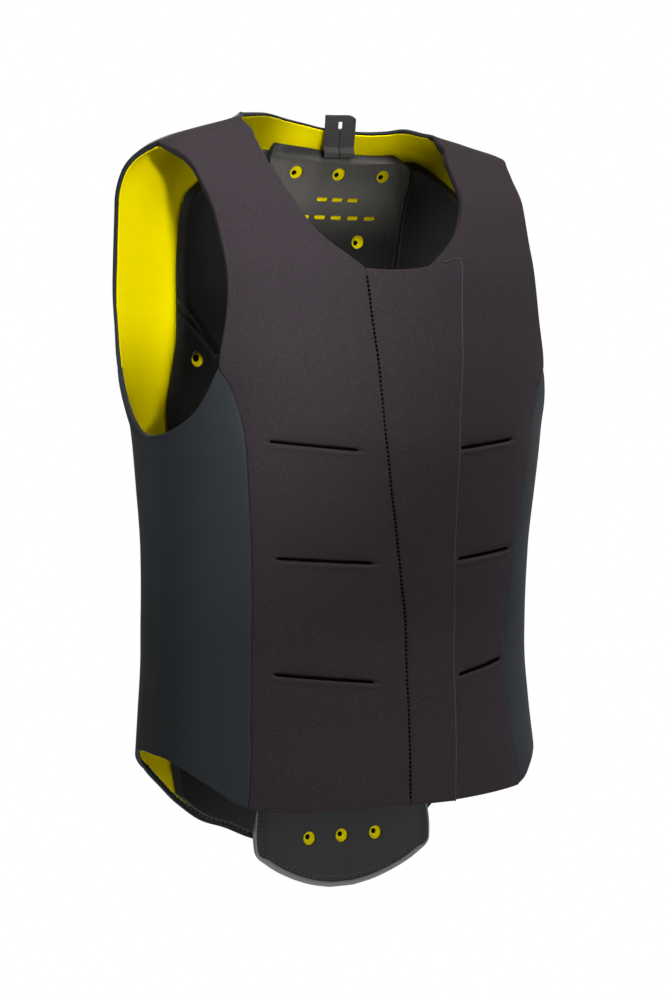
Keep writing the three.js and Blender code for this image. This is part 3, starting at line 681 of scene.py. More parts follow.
liningPlan = {
    "dark": (0.80, 0.66, 0.0), "light": (0.84, 0.70, 0.0), "fibre": 900, "fibreLong": 1.0,
    "patch": 12, "patchAmount": 0.1, "patchShade": (0.82, 0.68, 0.0),
    "speck": 600, "speckAmount": 0.02, "speckShade": (0.9, 0.76, 0.01),
    "weave": 1.2 * mm, "bump": (0.15, 0.1 * mm), "rough": 0.9, "gloss": 0.0,
    "sheen": 0.0, "sheenRough": 0.4, "sheenTint": (1.0, 0.95, 0.5),
    # painted shade: how much the lining is darkened under the right armhole's top, at both ends of the neck
    # and in the right armpit, and the colour it darkens towards
    "paintedShade": {"arm": 0.4, "neck": 0.8, "armpit": 0.6, "shade": (0.10, 0.083, 0.0)},
}


def foamFinish(name, plan):  # closed-cell foam with a satin skin
    f = Finish(name)
    grain = f.noise(f.spot, 1500, 2.0)
    smear = f.noise(f.stretched(f.spot, (1.0, 1.0, 0.35)), 22, 4.0, 0.6)
    colour = f.blend(smear.between(0.35, 0.75), plan["dark"], plan["light"])
    if "paintedLightBand" in plan:  # painted light: a paler band near the neck, where light through the neck falls on the foam, stopping below the top bevel
        low, high, end, shade = plan["paintedLightBand"]
        band = f.z.between(low, high) * (1 - f.z.between(end - 10 * mm, end))
        colour = f.blend(band * (smear * 0.6 + 0.5), colour, shade)
    dust = f.noise(f.spot, 420, 1.0).between(0.7, 0.78)
    colour = f.blend(dust * 0.25, colour, plan["dust"])
    return f.shade(colour, smear * 0.22 + (plan["rough"] - 0.1), grain + smear * 2.0, plan["bump"],
                   plan["gloss"], plan["sheen"], 0.4)


foamFinishPlan = {"dark": (0.0026, 0.0028, 0.0026), "light": (0.0044, 0.0046, 0.0043),
                  "dust": (0.012, 0.012, 0.012), "rough": 0.5, "gloss": 0.25, "bump": (0.25, 0.12 * mm),
                  "sheen": 0.05}
tailFinishPlan = {"dark": (0.0185, 0.0205, 0.0195), "light": (0.027, 0.030, 0.0285),
                  "dust": (0.05, 0.05, 0.052), "rough": 0.62, "gloss": 0.3, "bump": (0.3, 0.15 * mm),
                  "sheen": 0.08}


def tapeFinish(name, plan):  # ribbed woven tape
    f = Finish(name)
    rib = (f.z * (2 * math.pi / plan["rib"])).sine() * 0.5 + 0.5
    fibre = f.noise(f.stretched(f.spot, (1, 1, 3)), 1100, 3.0, 0.65)
    colour = f.blend(rib.between(0.1, 0.9) * 0.55 + fibre * 0.45, plan["dark"], plan["light"])
    return f.shade(colour, fibre * 0.2 + 0.7, rib + fibre * 0.5, plan["bump"], 0.2, 0.15, 0.4)


def threadFinish(name, dark, light, shine=0.3):
    f = Finish(name)
    twist = ((f.x + f.y + f.z * 1.6) * (2 * math.pi / (0.5 * mm))).sine() * 0.5 + 0.5
    return f.shade(f.blend(twist, dark, light), 0.9 - shine, twist, (0.4, 0.1 * mm), shine)


frontCloth = clothFinish("frontCloth", frontClothPlan)
sideCloth = clothFinish("sideCloth", sideClothPlan)
yellowCloth = clothFinish("yellowLining", liningPlan)
blackFoam = foamFinish("blackFoam", foamFinishPlan)
# painted light: a paler copy of the black foam for the protector's middle, which the light makes look lighter
# than the wings, with a painted light band near the neck
middleFoamPaintedLight = foamFinish("middleFoamPaintedLight", {
    **foamFinishPlan, "dark": (0.006, 0.0060, 0.0056), "light": (0.010, 0.0100, 0.0094),
    "dust": (0.03, 0.03, 0.028), "paintedLightBand": (-0.100, -0.045, -0.022, (0.098, 0.092, 0.082))})
tailFoam = foamFinish("tailFoam", tailFinishPlan)
hangerTape = tapeFinish("hangerTape", {
    "dark": (0.015, 0.0140, 0.0138), "light": (0.048, 0.045, 0.0435),
    "rib": 1.5 * mm, "bump": (0.6, 0.3 * mm)})
bindingTape = tapeFinish("bindingTape", {
    "dark": (0.16, 0.165, 0.168), "light": (0.27, 0.276, 0.28),
    "rib": 1.1 * mm, "bump": (0.4, 0.2 * mm)})
# painted highlight: a paler copy of the front cloth for the tube along the flap's free edge
edgeHighlightCloth = clothFinish("edgeHighlightCloth", {
    **frontClothPlan, "dark": (0.05, 0.041, 0.047), "light": (0.065, 0.053, 0.061)})
darkThread = threadFinish("darkThread", (0.004, 0.0035, 0.004), (0.014, 0.012, 0.014))
greyThread = threadFinish("greyThread", (0.012, 0.012, 0.012), (0.05, 0.05, 0.05))
paleThread = threadFinish("paleThread", (0.05, 0.052, 0.052), (0.16, 0.165, 0.165))
# near-black: the vent eyes, and painted shade for the groove tubes and the closure's stitch dots
ventBlackAndPaintedShade = threadFinish("ventBlackAndPaintedShade", (0.001, 0.001, 0.001), (0.002, 0.002, 0.002), 0.0)
print("finishes made")


# Small shapes for stitches and cords.

def joinMeshes(parts):
    verts, faces, count = [], [], 0
    for points, polygons in parts:
        verts.append(points)
        faces += [[i + count for i in polygon] for polygon in polygons]
        count += len(points)
    return np.concatenate(verts), faces


def stitchRun(points, normals, gap, length, thick):  # short rounded stitches along a line
    run = lengthsAlong(points)
    spots = np.arange(gap / 2, run[-1], gap)
    parts = []
    for spot in spots:
        where, ahead = [np.array([np.interp(s, run, points[:, k]) for k in range(3)])
                        for s in (spot - length / 3, spot + length / 3)]
        normal = np.array([np.interp(spot, run, normals[:, k]) for k in range(3)])
        along = (ahead - where) / np.linalg.norm(ahead - where)
        normal -= along * normal.dot(along)
        normal /= np.linalg.norm(normal)
        side = np.cross(normal, along)
        middle = (where + ahead) / 2
        verts = [middle - along * length / 2]
        for x in (-0.36, -0.12, 0.12, 0.36):
            size = thick / 2 * (1 - (x / 0.5) ** 2) ** 0.5
            for turn in np.arange(6) * math.pi / 3:
                verts.append(middle + along * x * length + side * size * math.cos(turn)
                             + normal * (size * math.sin(turn) + thick * 0.25 * (1 - (x / 0.5) ** 2)))
        verts.append(middle + along * length / 2)
        faces = [[0, 1 + (k + 1) % 6, 1 + k] for k in range(6)]
        for ring in range(3):
            base = 1 + ring * 6
            faces += [[base + k, base + (k + 1) % 6, base + 6 + (k + 1) % 6, base + 6 + k] for k in range(6)]
        faces += [[25, 19 + k, 19 + (k + 1) % 6] for k in range(6)]
        parts.append((np.array(verts), faces))
    return parts


def stripFaces(count, sides, flip=False):  # round a row of rings, with both ends closed
    faces = []
    for i in range(count - 1):
        for k in range(sides):
            a, b = i * sides + k, i * sides + (k + 1) % sides
            faces.append([a, a + sides, b + sides, b] if flip else [a, b, b + sides, a + sides])
    first, last = list(range(sides)), [(count - 1) * sides + k for k in range(sides)]
    return faces + ([first, last[::-1]] if flip else [first[::-1], last])


def tubeAlong(points, normals, radius, sides=6):
    tangents = np.gradient(points, axis=0)
    tangents /= np.linalg.norm(tangents, axis=1, keepdims=True)
    side = np.cross(normals, tangents)
    side /= np.linalg.norm(side, axis=1, keepdims=True)
    over = np.cross(tangents, side)
    rings = [points + side * radius * math.cos(a) + over * radius * math.sin(a)
             for a in np.arange(sides) * 2 * math.pi / sides]
    return [(np.stack(rings, 1).reshape(-1, 3), stripFaces(len(points), sides))]


# Front panels.

frontPlan = {
    "thick": 6 * mm,
    "rim": 1.4 * mm,
    "seamRim": 1.1 * mm,
    "closureRim": 0.5 * mm,
    "crown": 1.3 * mm,  # how much the padding swells between grooves
    "seamPull": 0.9 * mm,  # how much the side seam and the closure pull it in
    "grooves": (0.67, 0.532, 0.392),  # down shares at the side edge
    "rightReach": ((0.22, 0.85), (0.19, 0.84), (0.215, 0.825)),  # shares of the width that each runs over
    "leftReach": ((0.11, 0.9), (0.065, 0.9), (0.04, 0.66)),
    "slit": 4.4 * mm,
    "slitWide": 1.35 * mm,
    "lip": 1.0 * mm,
    "line": 0.95 * mm,  # radius of the near-black tube laid along the bottom of each groove as a painted shadow
    "shadowLineDeep": 2.1 * mm,
    "strapThick": 3.2 * mm,  # the padding thins towards the shoulder seam
    "neckRow": 0.231, "armholeRow": 0.315, "seamRow": 0.33,  # down shares where these edges begin and end
    "grooveLines": np.array([-12, -9, -6.5, -4.6, -3.2, -2.2, -1.5, -1.0, -0.6, -0.25, 0, 0.25, 0.6, 1.0,
                             1.5, 2.2, 3.2, 4.6, 6.5, 9, 12]) * mm,
}


def grooveV(share):
    return (bodyPlan["frontLow"] - share) / (bodyPlan["frontLow"] - bodyPlan["frontTop"])


def frontSurface(grid, reaches, start=0.0):
    plan = frontPlan
    u = (grid["u"] - start) / (1 - start)
    swell = np.full(u.shape, plan["crown"] * 0.45)
    press = np.zeros(u.shape)
    for share, (near, far) in zip(plan["grooves"], reaches):
        row = int(np.argmin(np.abs(grid["v"][:, 0] - grooveV(share))))
        below = grid["low"][row] - grid["low"]  # distance down the cloth from the groove's line
        reach = ease(u, near - 0.015, near + 0.02) * (1 - ease(u, far - 0.03, far + 0.01))
        wide = ease(u, near - 0.1, near + 0.1) * (1 - ease(u, far - 0.1, far + 0.1))
        swell -= plan["crown"] * wide * np.exp(-np.abs(below) / (14 * mm))
        slit = np.exp(-(np.abs(below) / plan["slitWide"]) ** 4) * plan["slit"]
        shoulder = hump(np.minimum(below, 0), 0, 5 * mm) * (below < 0) * 0.7 * mm
        lip = hump(below, 3.4 * mm, 1.9 * mm) * plan["lip"]
        press += reach * (lip - slit - shoulder * (1 - hump(below, 0, plan["slitWide"])))
    return swell + press


def makeFront(name, node, place, reaches, start, ripples):
    plan = frontPlan
    grid = layGrid(place, 4.2 * mm, 4.0 * mm, grooves=[grooveV(s) for s in plan["grooves"]],
                   grooveLines=plan["grooveLines"])
    outer = frontSurface(grid, reaches, start) + ripple(*grid["place"], 0.45 * mm, ripples)
    outer -= plan["seamPull"] * np.exp(-grid["right"] / (9 * mm)) * (grid["v"] < grooveV(plan["seamRow"]))
    neck = np.where(grid["v"] > grooveV(plan["neckRow"]), grid["left"], 1.0)
    armhole = np.where(grid["v"] > grooveV(plan["armholeRow"]), grid["right"], 1.0)
    outer -= rimDrop(np.minimum.reduce([grid["low"], neck, armhole]), plan["rim"])
    outer -= rimDrop(toEdge(grid, ("right", "low", "top")), plan["seamRim"])
    outer -= rimDrop(grid["left"], plan["closureRim"])
    thick = mix(plan["strapThick"], plan["thick"], ease(grid["top"], 2 * mm, 26 * mm))
    inner = rimDrop(toEdge(grid), 1.4 * mm) - thick
    outer = np.maximum(outer, inner + 1.0 * mm)
    piece = gridPiece(name, node, grid, outer, inner, frontCloth, "front_cloth")
    # painted shadow: a near-black tube along the bottom of each groove
    lines = []
    for share, (near, far) in zip(plan["grooves"], reaches):
        u = start + (1 - start) * np.linspace(near + 0.004, far - 0.004, 40)
        points, normals = bodyPoint(*place(u, np.full(40, grooveV(share))), -plan["shadowLineDeep"])
        lines += tubeAlong(points, normals, plan["line"])
    addPiece(name + "Grooves", *joinMeshes(lines), ventBlackAndPaintedShade, "front_cloth")


makeFront("frontRight", "front_right_panel", rightPlace, frontPlan["rightReach"], 0.0, 0.0)
makeFront("frontLeft", "front_left_panel", leftPlace, frontPlan["leftReach"], 0.2, 2.1)
print("front panels made")


# The closure flap, which lies over the edge of the left panel.

flapPlan = {"lapStart": 0.66, "under": 0.4 * mm, "lap": 3.4 * mm, "thick": 6 * mm, "rim": 1.5 * mm,
            "sink": 0.5 * mm, "fold": 0.9 * mm, "seamRim": 0.5 * mm}


def makeFlap():
    plan = flapPlan
    grid = layGrid(flapPlace, 2.2 * mm, 4.0 * mm)
    share = grid["u"]
    outer = plan["lap"] * ease(share, 0, plan["lapStart"])
    outer += ripple(*grid["place"], 0.3 * mm, 4.0)
    outer -= plan["sink"] * np.exp(-grid["left"] / (4 * mm))
    outer += plan["fold"] * hump(grid["right"], 2.2 * mm, 1.3 * mm)  # the folded edge stands proud
    outer -= (rimDrop(toEdge(grid, ("right", "low", "top")), plan["rim"])
              + rimDrop(grid["left"], plan["seamRim"]))
    lapped = ease(share, plan["lapStart"] - 0.02, plan["lapStart"] + 0.005)
    inner = mix(-plan["thick"], plan["under"], lapped) + rimDrop(toEdge(grid), 0.8 * mm) * 0.8
    outer = np.maximum(outer, inner + 0.9 * mm)
    piece = gridPiece("closureFlap", "closure_flap", grid, outer, inner, frontCloth, "front_cloth")


makeFlap()


# Side panels, back and lining.

clothPlan = {
    "thick": 3 * mm,
    "rim": 1.2 * mm,
    "turned": 1.6 * mm,  # hem turned over on to the inside at the armholes
    "turnedNeck": 0.9 * mm,
    "turnedHem": 7 * mm,
    "liningIn": 3.3 * mm,
    "liningThick": 1.2 * mm,
    "liningRim": 0.5 * mm,
    "ridge": 0.9 * mm,  # soft roll below the armhole
    "ridgeAt": (9 * mm, 5 * mm),  # its distance below the edge and how far it reaches
    "sideInset": (0.3 * mm, 0.3 * mm, 4.9 * mm, 2.0 * mm),  # how far a lining stays inside its cloth:
    "backInset": (0.3 * mm, 0.3 * mm, 7.4 * mm, 1.4 * mm),  # left, right, low, top
    "pull": 1.8 * mm,  # keeps the back's lining inside the turned armhole edge
}


def makeLining(name, node, grid, turn):
    plan = clothPlan
    drop = rimDrop(toEdge(grid), plan["liningRim"])
    low = -plan["liningIn"] - plan["liningThick"] + drop
    low += ripple(*grid["place"], 0.2 * mm, turn)
    return gridPiece(name, node, grid, -plan["liningIn"] - drop, low, yellowCloth, "lining")


def makeSide(name, node, liningName, liningNode, place):
    plan = clothPlan
    grid = layGrid(place, 4.0 * mm, 4.0 * mm)
    outer = ripple(*grid["place"], 0.5 * mm, 1.0)
    outer -= 0.7 * mm * np.exp(-grid["left"] / (7 * mm)) + 0.5 * mm * np.exp(-grid["right"] / (7 * mm))
    outer += plan["ridge"] * hump(grid["top"], *plan["ridgeAt"]) * ease(grid["u"], 0.2, 0.4)
    outer -= rimDrop(toEdge(grid), plan["rim"])
    edge = toEdge(grid, ("top", "low"))
    inner = -plan["thick"] - 1.5 * mm * (1 - ease(edge, plan["turned"] - 0.8 * mm, plan["turned"]))
    inner += rimDrop(toEdge(grid), plan["rim"])
    outer = np.maximum(outer, inner + 0.8 * mm)
    piece = gridPiece(name, node, grid, outer, inner, sideCloth, "side_cloth")
    grid = layGrid(place, 5.0 * mm, 5.0 * mm, plan["sideInset"])
    makeLining(liningName, liningNode, grid, 2.0)


makeSide("sideLeft", "side_left_panel", "liningLeft", "side_left_lining", sidePlace)
makeSide("sideRight", "side_right_panel", "liningRight", "side_right_lining", mirrorPlace(sidePlace))


def makeBack():
    plan = clothPlan
    grid = layGrid(backPlace, 4.6 * mm, 4.6 * mm)
    outer = ripple(*grid["place"], 0.6 * mm, 3.0) - rimDrop(toEdge(grid), plan["rim"])
    armhole = ease(grid["v"], 0.62, 0.64)
    edge = mix(0.05, toEdge(grid, ("left", "right")), armhole)
    hem = 1 - ease(grid["low"], plan["turnedHem"] - 0.8 * mm, plan["turnedHem"])
    neck = 1 - ease(grid["top"], plan["turnedNeck"] - 0.5 * mm, plan["turnedNeck"] + 0.3 * mm)
    turned = np.maximum.reduce([1 - ease(edge, plan["turned"] - 0.8 * mm, plan["turned"]), hem, neck])
    inner = -plan["thick"] - 0.9 * mm * turned + rimDrop(toEdge(grid), plan["rim"])
    piece = gridPiece("backPanel", "back_panel", grid, outer, inner, sideCloth, "side_cloth")
    grid = layGrid(backPlace, 6.0 * mm, 5.0 * mm, plan["backInset"])
    seamLow = bodyPlan["backSeamLow"]
    seamV = (seamLow - bodyPlan["sideTop"]) / (seamLow - bodyPlan["backNeck"][0][1])
    pull = plan["pull"] * ease(grid["v"], seamV - 0.01, seamV + 0.01)
    wide = grid["left"] + grid["right"]
    u = mix(grid["u"][:, :1] + pull[:, :1] / wide[:, :1], grid["u"][:, -1:] - pull[:, :1] / wide[:, :1],
            (grid["u"] - grid["u"][:, :1]) / (grid["u"][:, -1:] - grid["u"][:, :1]))
    grid["place"] = backPlace(u, grid["v"])
    makeLining("liningBack", "back_lining", grid, 5.0)


makeBack()
print("sides, back and lining made")


# Small parts: stitches, seams, holes.

seamPlan = {"gap": 3.4 * mm, "length": 2.2 * mm, "thick": 2.3 * mm, "cord": 0.75 * mm,
            "edge": 0.5 * mm}


def makeSeams():
    plan = seamPlan
    share = np.linspace(0.2, 0.828, 160)
    seam = bodyLine("closure", share)
    # stitch dots along the closure seam, near-black as painted shade of their needle holes
    dots = stitchRun(*bodyPoint(seam, share * bodyLength, 0.3 * mm),
                     plan["gap"], plan["length"], plan["thick"])
    addPiece("closureStitches", *joinMeshes(dots), ventBlackAndPaintedShade, "front_cloth")
    cords = []

    def cord(angle, share, out=-1.6 * mm, higher=0.0):
        cords.extend(tubeAlong(*bodyPoint(angle, share * bodyLength - higher, out), plan["cord"]))

    low = np.linspace(0.312, 0.826, 120)
    for sign in (1, -1):
        cord(sign * frontEdge(low), low, higher=1.2 * mm)
        cord(sign * backEdge(seamDown(low)), seamDown(low), higher=1.2 * mm)
        cord(sign * 90.0, np.linspace(bodyPlan["neckTop"] + 0.002, bodyPlan["frontTop"] - 0.002, 40))
    share = np.linspace(0.195, 0.83, 160)
    cord(bodyLine("closure", share), share, -1.2 * mm)
    top = flapSpot(np.full(30, bodyPlan["neckEnd"]), np.linspace(0.8, 1.0, 30))
    side = flapSpot(np.linspace(bodyPlan["neckEnd"], bodyPlan["flapLow"], 200)[1:], np.ones(199))
    angles, downs = [np.append(a[:-2], b) for a, b in zip(top, side)]
    # a thin tube along the flap's raised free edge, paler as a painted highlight
    edge = tubeAlong(*bodyPoint(angles - 0.25, downs + 0.3 * mm, 3.5 * mm), plan["edge"])
    addPiece("flapEdgeHighlight", *joinMeshes(edge), edgeHighlightCloth, "front_cloth")
    addPiece("seamCords", *joinMeshes(cords), darkThread, "side_cloth")


makeSeams()


def faceAxes(normal):  # the level and the upward direction in a surface's own plane
    side = np.cross((0.0, 0.0, 1.0), normal)
    side /= np.linalg.norm(side)
    return side, np.cross(normal, side)


def plug(spot, normal, outline, depth, rise=0.0, hole=None):
    # a flat-ended plug of an outline in the surface's own plane; hole gives a ring instead
    side, over = faceAxes(normal)
    ring = np.array([spot + side * a + over * b for a, b in outline])
    tops, lows = ring + normal * rise, ring + normal * (rise - depth)
    count = len(outline)
    if hole is None:
        verts = np.concatenate([tops, lows])
        faces = [[k, (k + 1) % count, count + (k + 1) % count, count + k][::-1] for k in range(count)]
        return verts, faces + [list(range(count)), [count + k for k in range(count)][::-1]]
    inner = np.array([spot + side * a + over * b for a, b in hole])
    verts = np.concatenate([tops, lows, inner + normal * rise, inner + normal * (rise - depth)])
    faces = []
    for k in range(count):
        n = (k + 1) % count
        faces += [[k, count + k, count + n, n], [2 * count + k, 2 * count + n, 3 * count + n, 3 * count + k],
                  [k, n, 2 * count + n, 2 * count + k], [count + k, 3 * count + k, 3 * count + n, count + n]]
    return verts, faces


def circle(radius, count=40, moved=(0.0, 0.0)):
    return [(radius * math.cos(a) + moved[0], radius * math.sin(a) + moved[1])
            for a in np.arange(count) * 2 * math.pi / count]


def stadium(wide, tall, count=12):  # a slot with round ends
    r, straight = tall / 2, wide / 2 - tall / 2
    turns = np.linspace(-math.pi / 2, math.pi / 2, count)
    return [(sign * (straight + r * math.cos(a)), sign * r * math.sin(a)) for sign in (1, -1) for a in turns]


def lipRing(spot, normal, outline, thick):  # the soft lip of a hole
    side, over = faceAxes(normal)
    count = len(outline)
    line = np.array(outline)
    ahead = np.roll(line, -1, 0) - np.roll(line, 1, 0)
    out = np.stack([ahead[:, 1], -ahead[:, 0]], 1)
    out /= np.linalg.norm(out, axis=1, keepdims=True)
    verts = []
    for (a, b), (oa, ob) in zip(line, out):
        for turn in np.arange(8) * math.pi / 4:
            r, h = thick * math.cos(turn), thick * 0.6 * math.sin(turn)
            verts.append(spot + side * (a + oa * r) + over * (b + ob * r) + normal * h)
    faces = []
    for k in range(count):
        for s in range(8):
            a, b = k * 8 + s, k * 8 + (s + 1) % 8
            c, d = ((k + 1) % count) * 8 + (s + 1) % 8, ((k + 1) % count) * 8 + s
            faces.append([a, b, c, d])
    return np.array(verts), faces


def cutHoles(piece, cutters):
    verts, faces = joinMeshes(cutters)
    mesh = bpy.data.meshes.new("cutter")
    mesh.from_pydata([tuple(v) for v in verts], [], faces)
    cutter = bpy.data.objects.new("cutter", mesh)
    bpy.context.scene.collection.objects.link(cutter)
    cut = piece.modifiers.new("holes", "BOOLEAN")
    cut.operation, cut.object, cut.solver = "DIFFERENCE", cutter, "EXACT"
    shaped = bpy.data.meshes.new_from_object(piece.evaluated_get(bpy.context.evaluated_depsgraph_get()))
    piece.modifiers.clear()
    old, piece.data = piece.data, shaped
    bpy.data.meshes.remove(old)
    bpy.data.objects.remove(cutter)
    bpy.data.meshes.remove(mesh)
    shaped.shade_smooth()
    shaped.set_sharp_from_angle(angle=math.radians(38))


# The foam protector, its wings and the tail.

def foamSpot(angle, share, middle=backMiddle):  # a place on the face against the wearer
    point, normal = bodyPoint(middle + angle, share * bodyLength, -foamPlan["face"])
    return point, -normal


def cutVents(name, piece, finish, holes, slots=(), middle=backMiddle):  # holes through it, with soft lips
    plan = foamPlan
    radius, (wide, tall) = plan["holeRadius"], plan["slot"]
    cutters, lips = [], []
    for spots, outline, lip, thick in (
            (holes, circle(radius), circle(radius + 0.35 * mm), plan["holeLip"]),
            (slots, stadium(wide, tall), stadium(wide + 0.4 * mm, tall + 0.4 * mm), plan["slotLip"])):
        for angle, share in spots:
            spot, normal = foamSpot(angle, share, middle)
            cutters.append(plug(spot, normal, outline, *plan["cut"]))
            lips.append(lipRing(spot - normal * 0.2 * mm, normal, lip, thick))
    cutHoles(piece, cutters)
    addPiece(name + "Lips", *joinMeshes(lips), finish, "foam")


def creaseDepth(grid, side):
    plan = foamPlan
    total = np.zeros(grid["u"].shape)
    offset = (grid["angle"] - backMiddle) * side
    for (a0, d0), (a1, d1) in plan["creases"]:
        metre = 0.0031  # about one degree of the wing's width
        p, q = np.array([a0 * metre, d0]), np.array([a1 * metre, d1])
        way = (q - p) / np.linalg.norm(q - p)
        x, y = offset * metre - p[0], grid["down"] - p[1]
        across = np.abs(x * way[1] - y * way[0])
        total += (plan["creaseDeep"] * hump(across, 0, plan["creaseWide"])
                  - 0.5 * mm * hump(across, 3.6 * mm, 1.6 * mm))
    return total


def makeFoam(name, node, place, holes, slots, seams, side=0):
    plan = foamPlan
    band = (0.72, 0.92, 1.3 * mm) if side else None
    grid = layGrid(place, 3.2 * mm if side else 3.6 * mm, 4.2 * mm, band=band)
    outer = np.full(grid["u"].shape, -(plan["face"] - plan["thick"])) - rimDrop(toEdge(grid), 1.4 * mm)
    inner = np.full(grid["u"].shape, -plan["face"]) + ripple(*grid["place"], 0.25 * mm, 1.3)
    seamSides = [edge for edge, wide in seams]
    freeSides = [edge for edge in ("left", "right", "low", "top") if edge not in seamSides]
    inner += rimDrop(toEdge(grid, freeSides), plan["rim"]) + rimDrop(toEdge(grid, seamSides), plan["seamRim"])
    free = toEdge(grid, ["top"] + ([] if "right" in seamSides else ["right"]))
    inner += plan["taper"] * (1 - ease(free, 0, plan["taperWide"]))
    for edge, wide in seams:
        inner += plan["channelDeep"] * (1 - ease(grid[edge], wide - 1.4 * mm, wide))
        inner -= 0.25 * mm * hump(grid[edge], wide + 2.2 * mm, 2.2 * mm)
    if side:
        inner += creaseDepth(grid, side)
    inner = np.minimum(inner, outer - 1.2 * mm)
    finish = blackFoam if side else middleFoamPaintedLight
    piece = gridPiece(name, node, grid, outer, inner, finish, "foam")
    cutVents(name, piece, finish, holes, slots)


makeFoam("protector", "back_protector", middlePlace, foamPlan["topHoles"], foamPlan["slots"],
         [("left", foamPlan["channel"]), ("right", foamPlan["channel"])])
for side, name, node in ((-1, "wingLeft", "protector_left_wing"), (1, "wingRight", "protector_right_wing")):
    makeFoam(name, node, wingPlace(side), [(side * foamPlan["wingHole"][0], foamPlan["wingHole"][1])], [],
             [("left", 2.2 * mm)], side)
print("protector made")


tailPlan = {"rimWide": 5.5 * mm, "rimDeep": 3.6 * mm, "tape": 4.2 * mm, "tapeThick": 0.7 * mm,
            "wideFrom": (0.944, 0.956),  # down shares between which the tape grows to its full width
            "stitchIn": 6.0 * mm, "stitch": (4.2 * mm, 2.4 * mm, 0.9 * mm)}


def tailEdge(inward):  # the tail's outline, a distance in from its edge, from the right top round to the left
    rows = np.array(foamPlan["tailOutline"])
    share = mix(rows[0, 0], rows[-1, 0], np.linspace(0, 1, 70) ** 0.8)
    edge = smoothLine(foamPlan["tailOutline"], 1, share)
    angles = np.concatenate([edge, np.linspace(edge[-1], -edge[-1], 14)[1:-1], -edge[::-1]])
    downs = np.concatenate([share, np.full(12, share[-1]), share[::-1]]) * bodyLength
    perDegree = np.linalg.norm(bodyPoint(tailMiddle + angles + 0.5, downs)[0]
                               - bodyPoint(tailMiddle + angles - 0.5, downs)[0], axis=1)
    across = angles * perDegree
    run = lengthsAlong(np.stack([across, downs], 1))
    even = np.linspace(0, run[-1], 150)
    across, downs = np.interp(even, run, across), np.interp(even, run, downs)
    perDegree = np.interp(even, run, perDegree)
    for i in range(2):  # rounds the corners a little
        across[1:-1] = (across[:-2] + 2 * across[1:-1] + across[2:]) / 4
        downs[1:-1] = (downs[:-2] + 2 * downs[1:-1] + downs[2:]) / 4
    way = np.stack([np.gradient(across), np.gradient(downs)], 1)
    way /= np.linalg.norm(way, axis=1, keepdims=True)
    across, downs = across - way[:, 1] * inward, downs + way[:, 0] * inward
    return tailMiddle + across / perDegree, downs


def makeTail():
    plan = tailPlan
    grid = layGrid(tailPlace, 3.0 * mm, 2.4 * mm)
    face = foamPlan["face"]
    edgeAngles, edgeDowns = tailEdge(0.0)
    line = bodyPoint(edgeAngles, edgeDowns)[0]
    spots = bodyPoint(*grid["place"])[0]
    rim = np.linalg.norm(spots[:, :, None] - line, axis=3).min(2)
    outer = np.full(grid["u"].shape, -(face - foamPlan["thick"])) - rimDrop(toEdge(grid), 1.0 * mm)
    inner = np.full(grid["u"].shape, -face) + plan["rimDeep"] * (1 - ease(rim, plan["rimWide"] - 1 * mm,
                                                                       plan["rimWide"] + 5 * mm))
    inner += rimDrop(toEdge(grid), 1.2 * mm) + ripple(*grid["place"], 0.2 * mm)
    inner = np.minimum(inner, outer - 1 * mm)
    piece = gridPiece("tailPad", "tail_pad", grid, outer, inner, tailFoam, "foam")
    cutVents("tail", piece, tailFoam, foamPlan["tailHoles"], middle=tailMiddle)


makeTail()


def makeTailTape():
    plan = tailPlan
    face = foamPlan["face"]
    low, back, thick = face - plan["rimDeep"], face - foamPlan["thick"], plan["tapeThick"]
    profile = [(plan["tape"], -low + 0.1 * mm), (plan["tape"], -low - thick), (1.0 * mm, -low - thick * 1.2),
               (-0.2 * mm, -low - 0.2 * mm), (-0.7 * mm, -low + 1.4 * mm), (-0.7 * mm, -low + 3.0 * mm),
               (0.2 * mm, -back - 0.4 * mm), (1.6 * mm, -back - 0.6 * mm)]  # in from the edge, out
    full = ease(tailEdge(0.0)[1] / bodyLength, *plan["wideFrom"])
    wide = mix(0.3, 0.9, full)  # the tape shows less along the sides
    rings = [bodyPoint(*tailEdge(inward * wide if inward > 0 else inward), out)[0] for inward, out in profile]
    rings = np.stack(rings, 1)
    addPiece("tailBinding", rings.reshape(-1, 3), stripFaces(*rings.shape[:2], True), bindingTape, "webbing")
    points, normals = bodyPoint(*tailEdge(plan["stitchIn"]), -face + 2.6 * mm)
    addPiece("tailStitches", *joinMeshes(stitchRun(points, -normals, *plan["stitch"])),
             paleThread, "webbing")


makeTailTape()


# Yellow cores in the vents, those in the round holes each with a small black eye.

ventPlan = {"depth": 1.9 * mm, "slotDepth": 2.4 * mm, "coreThick": 1.2 * mm, "eye": 2.3 * mm,
            "wingEye": 3.2 * mm, "fit": 0.2 * mm}


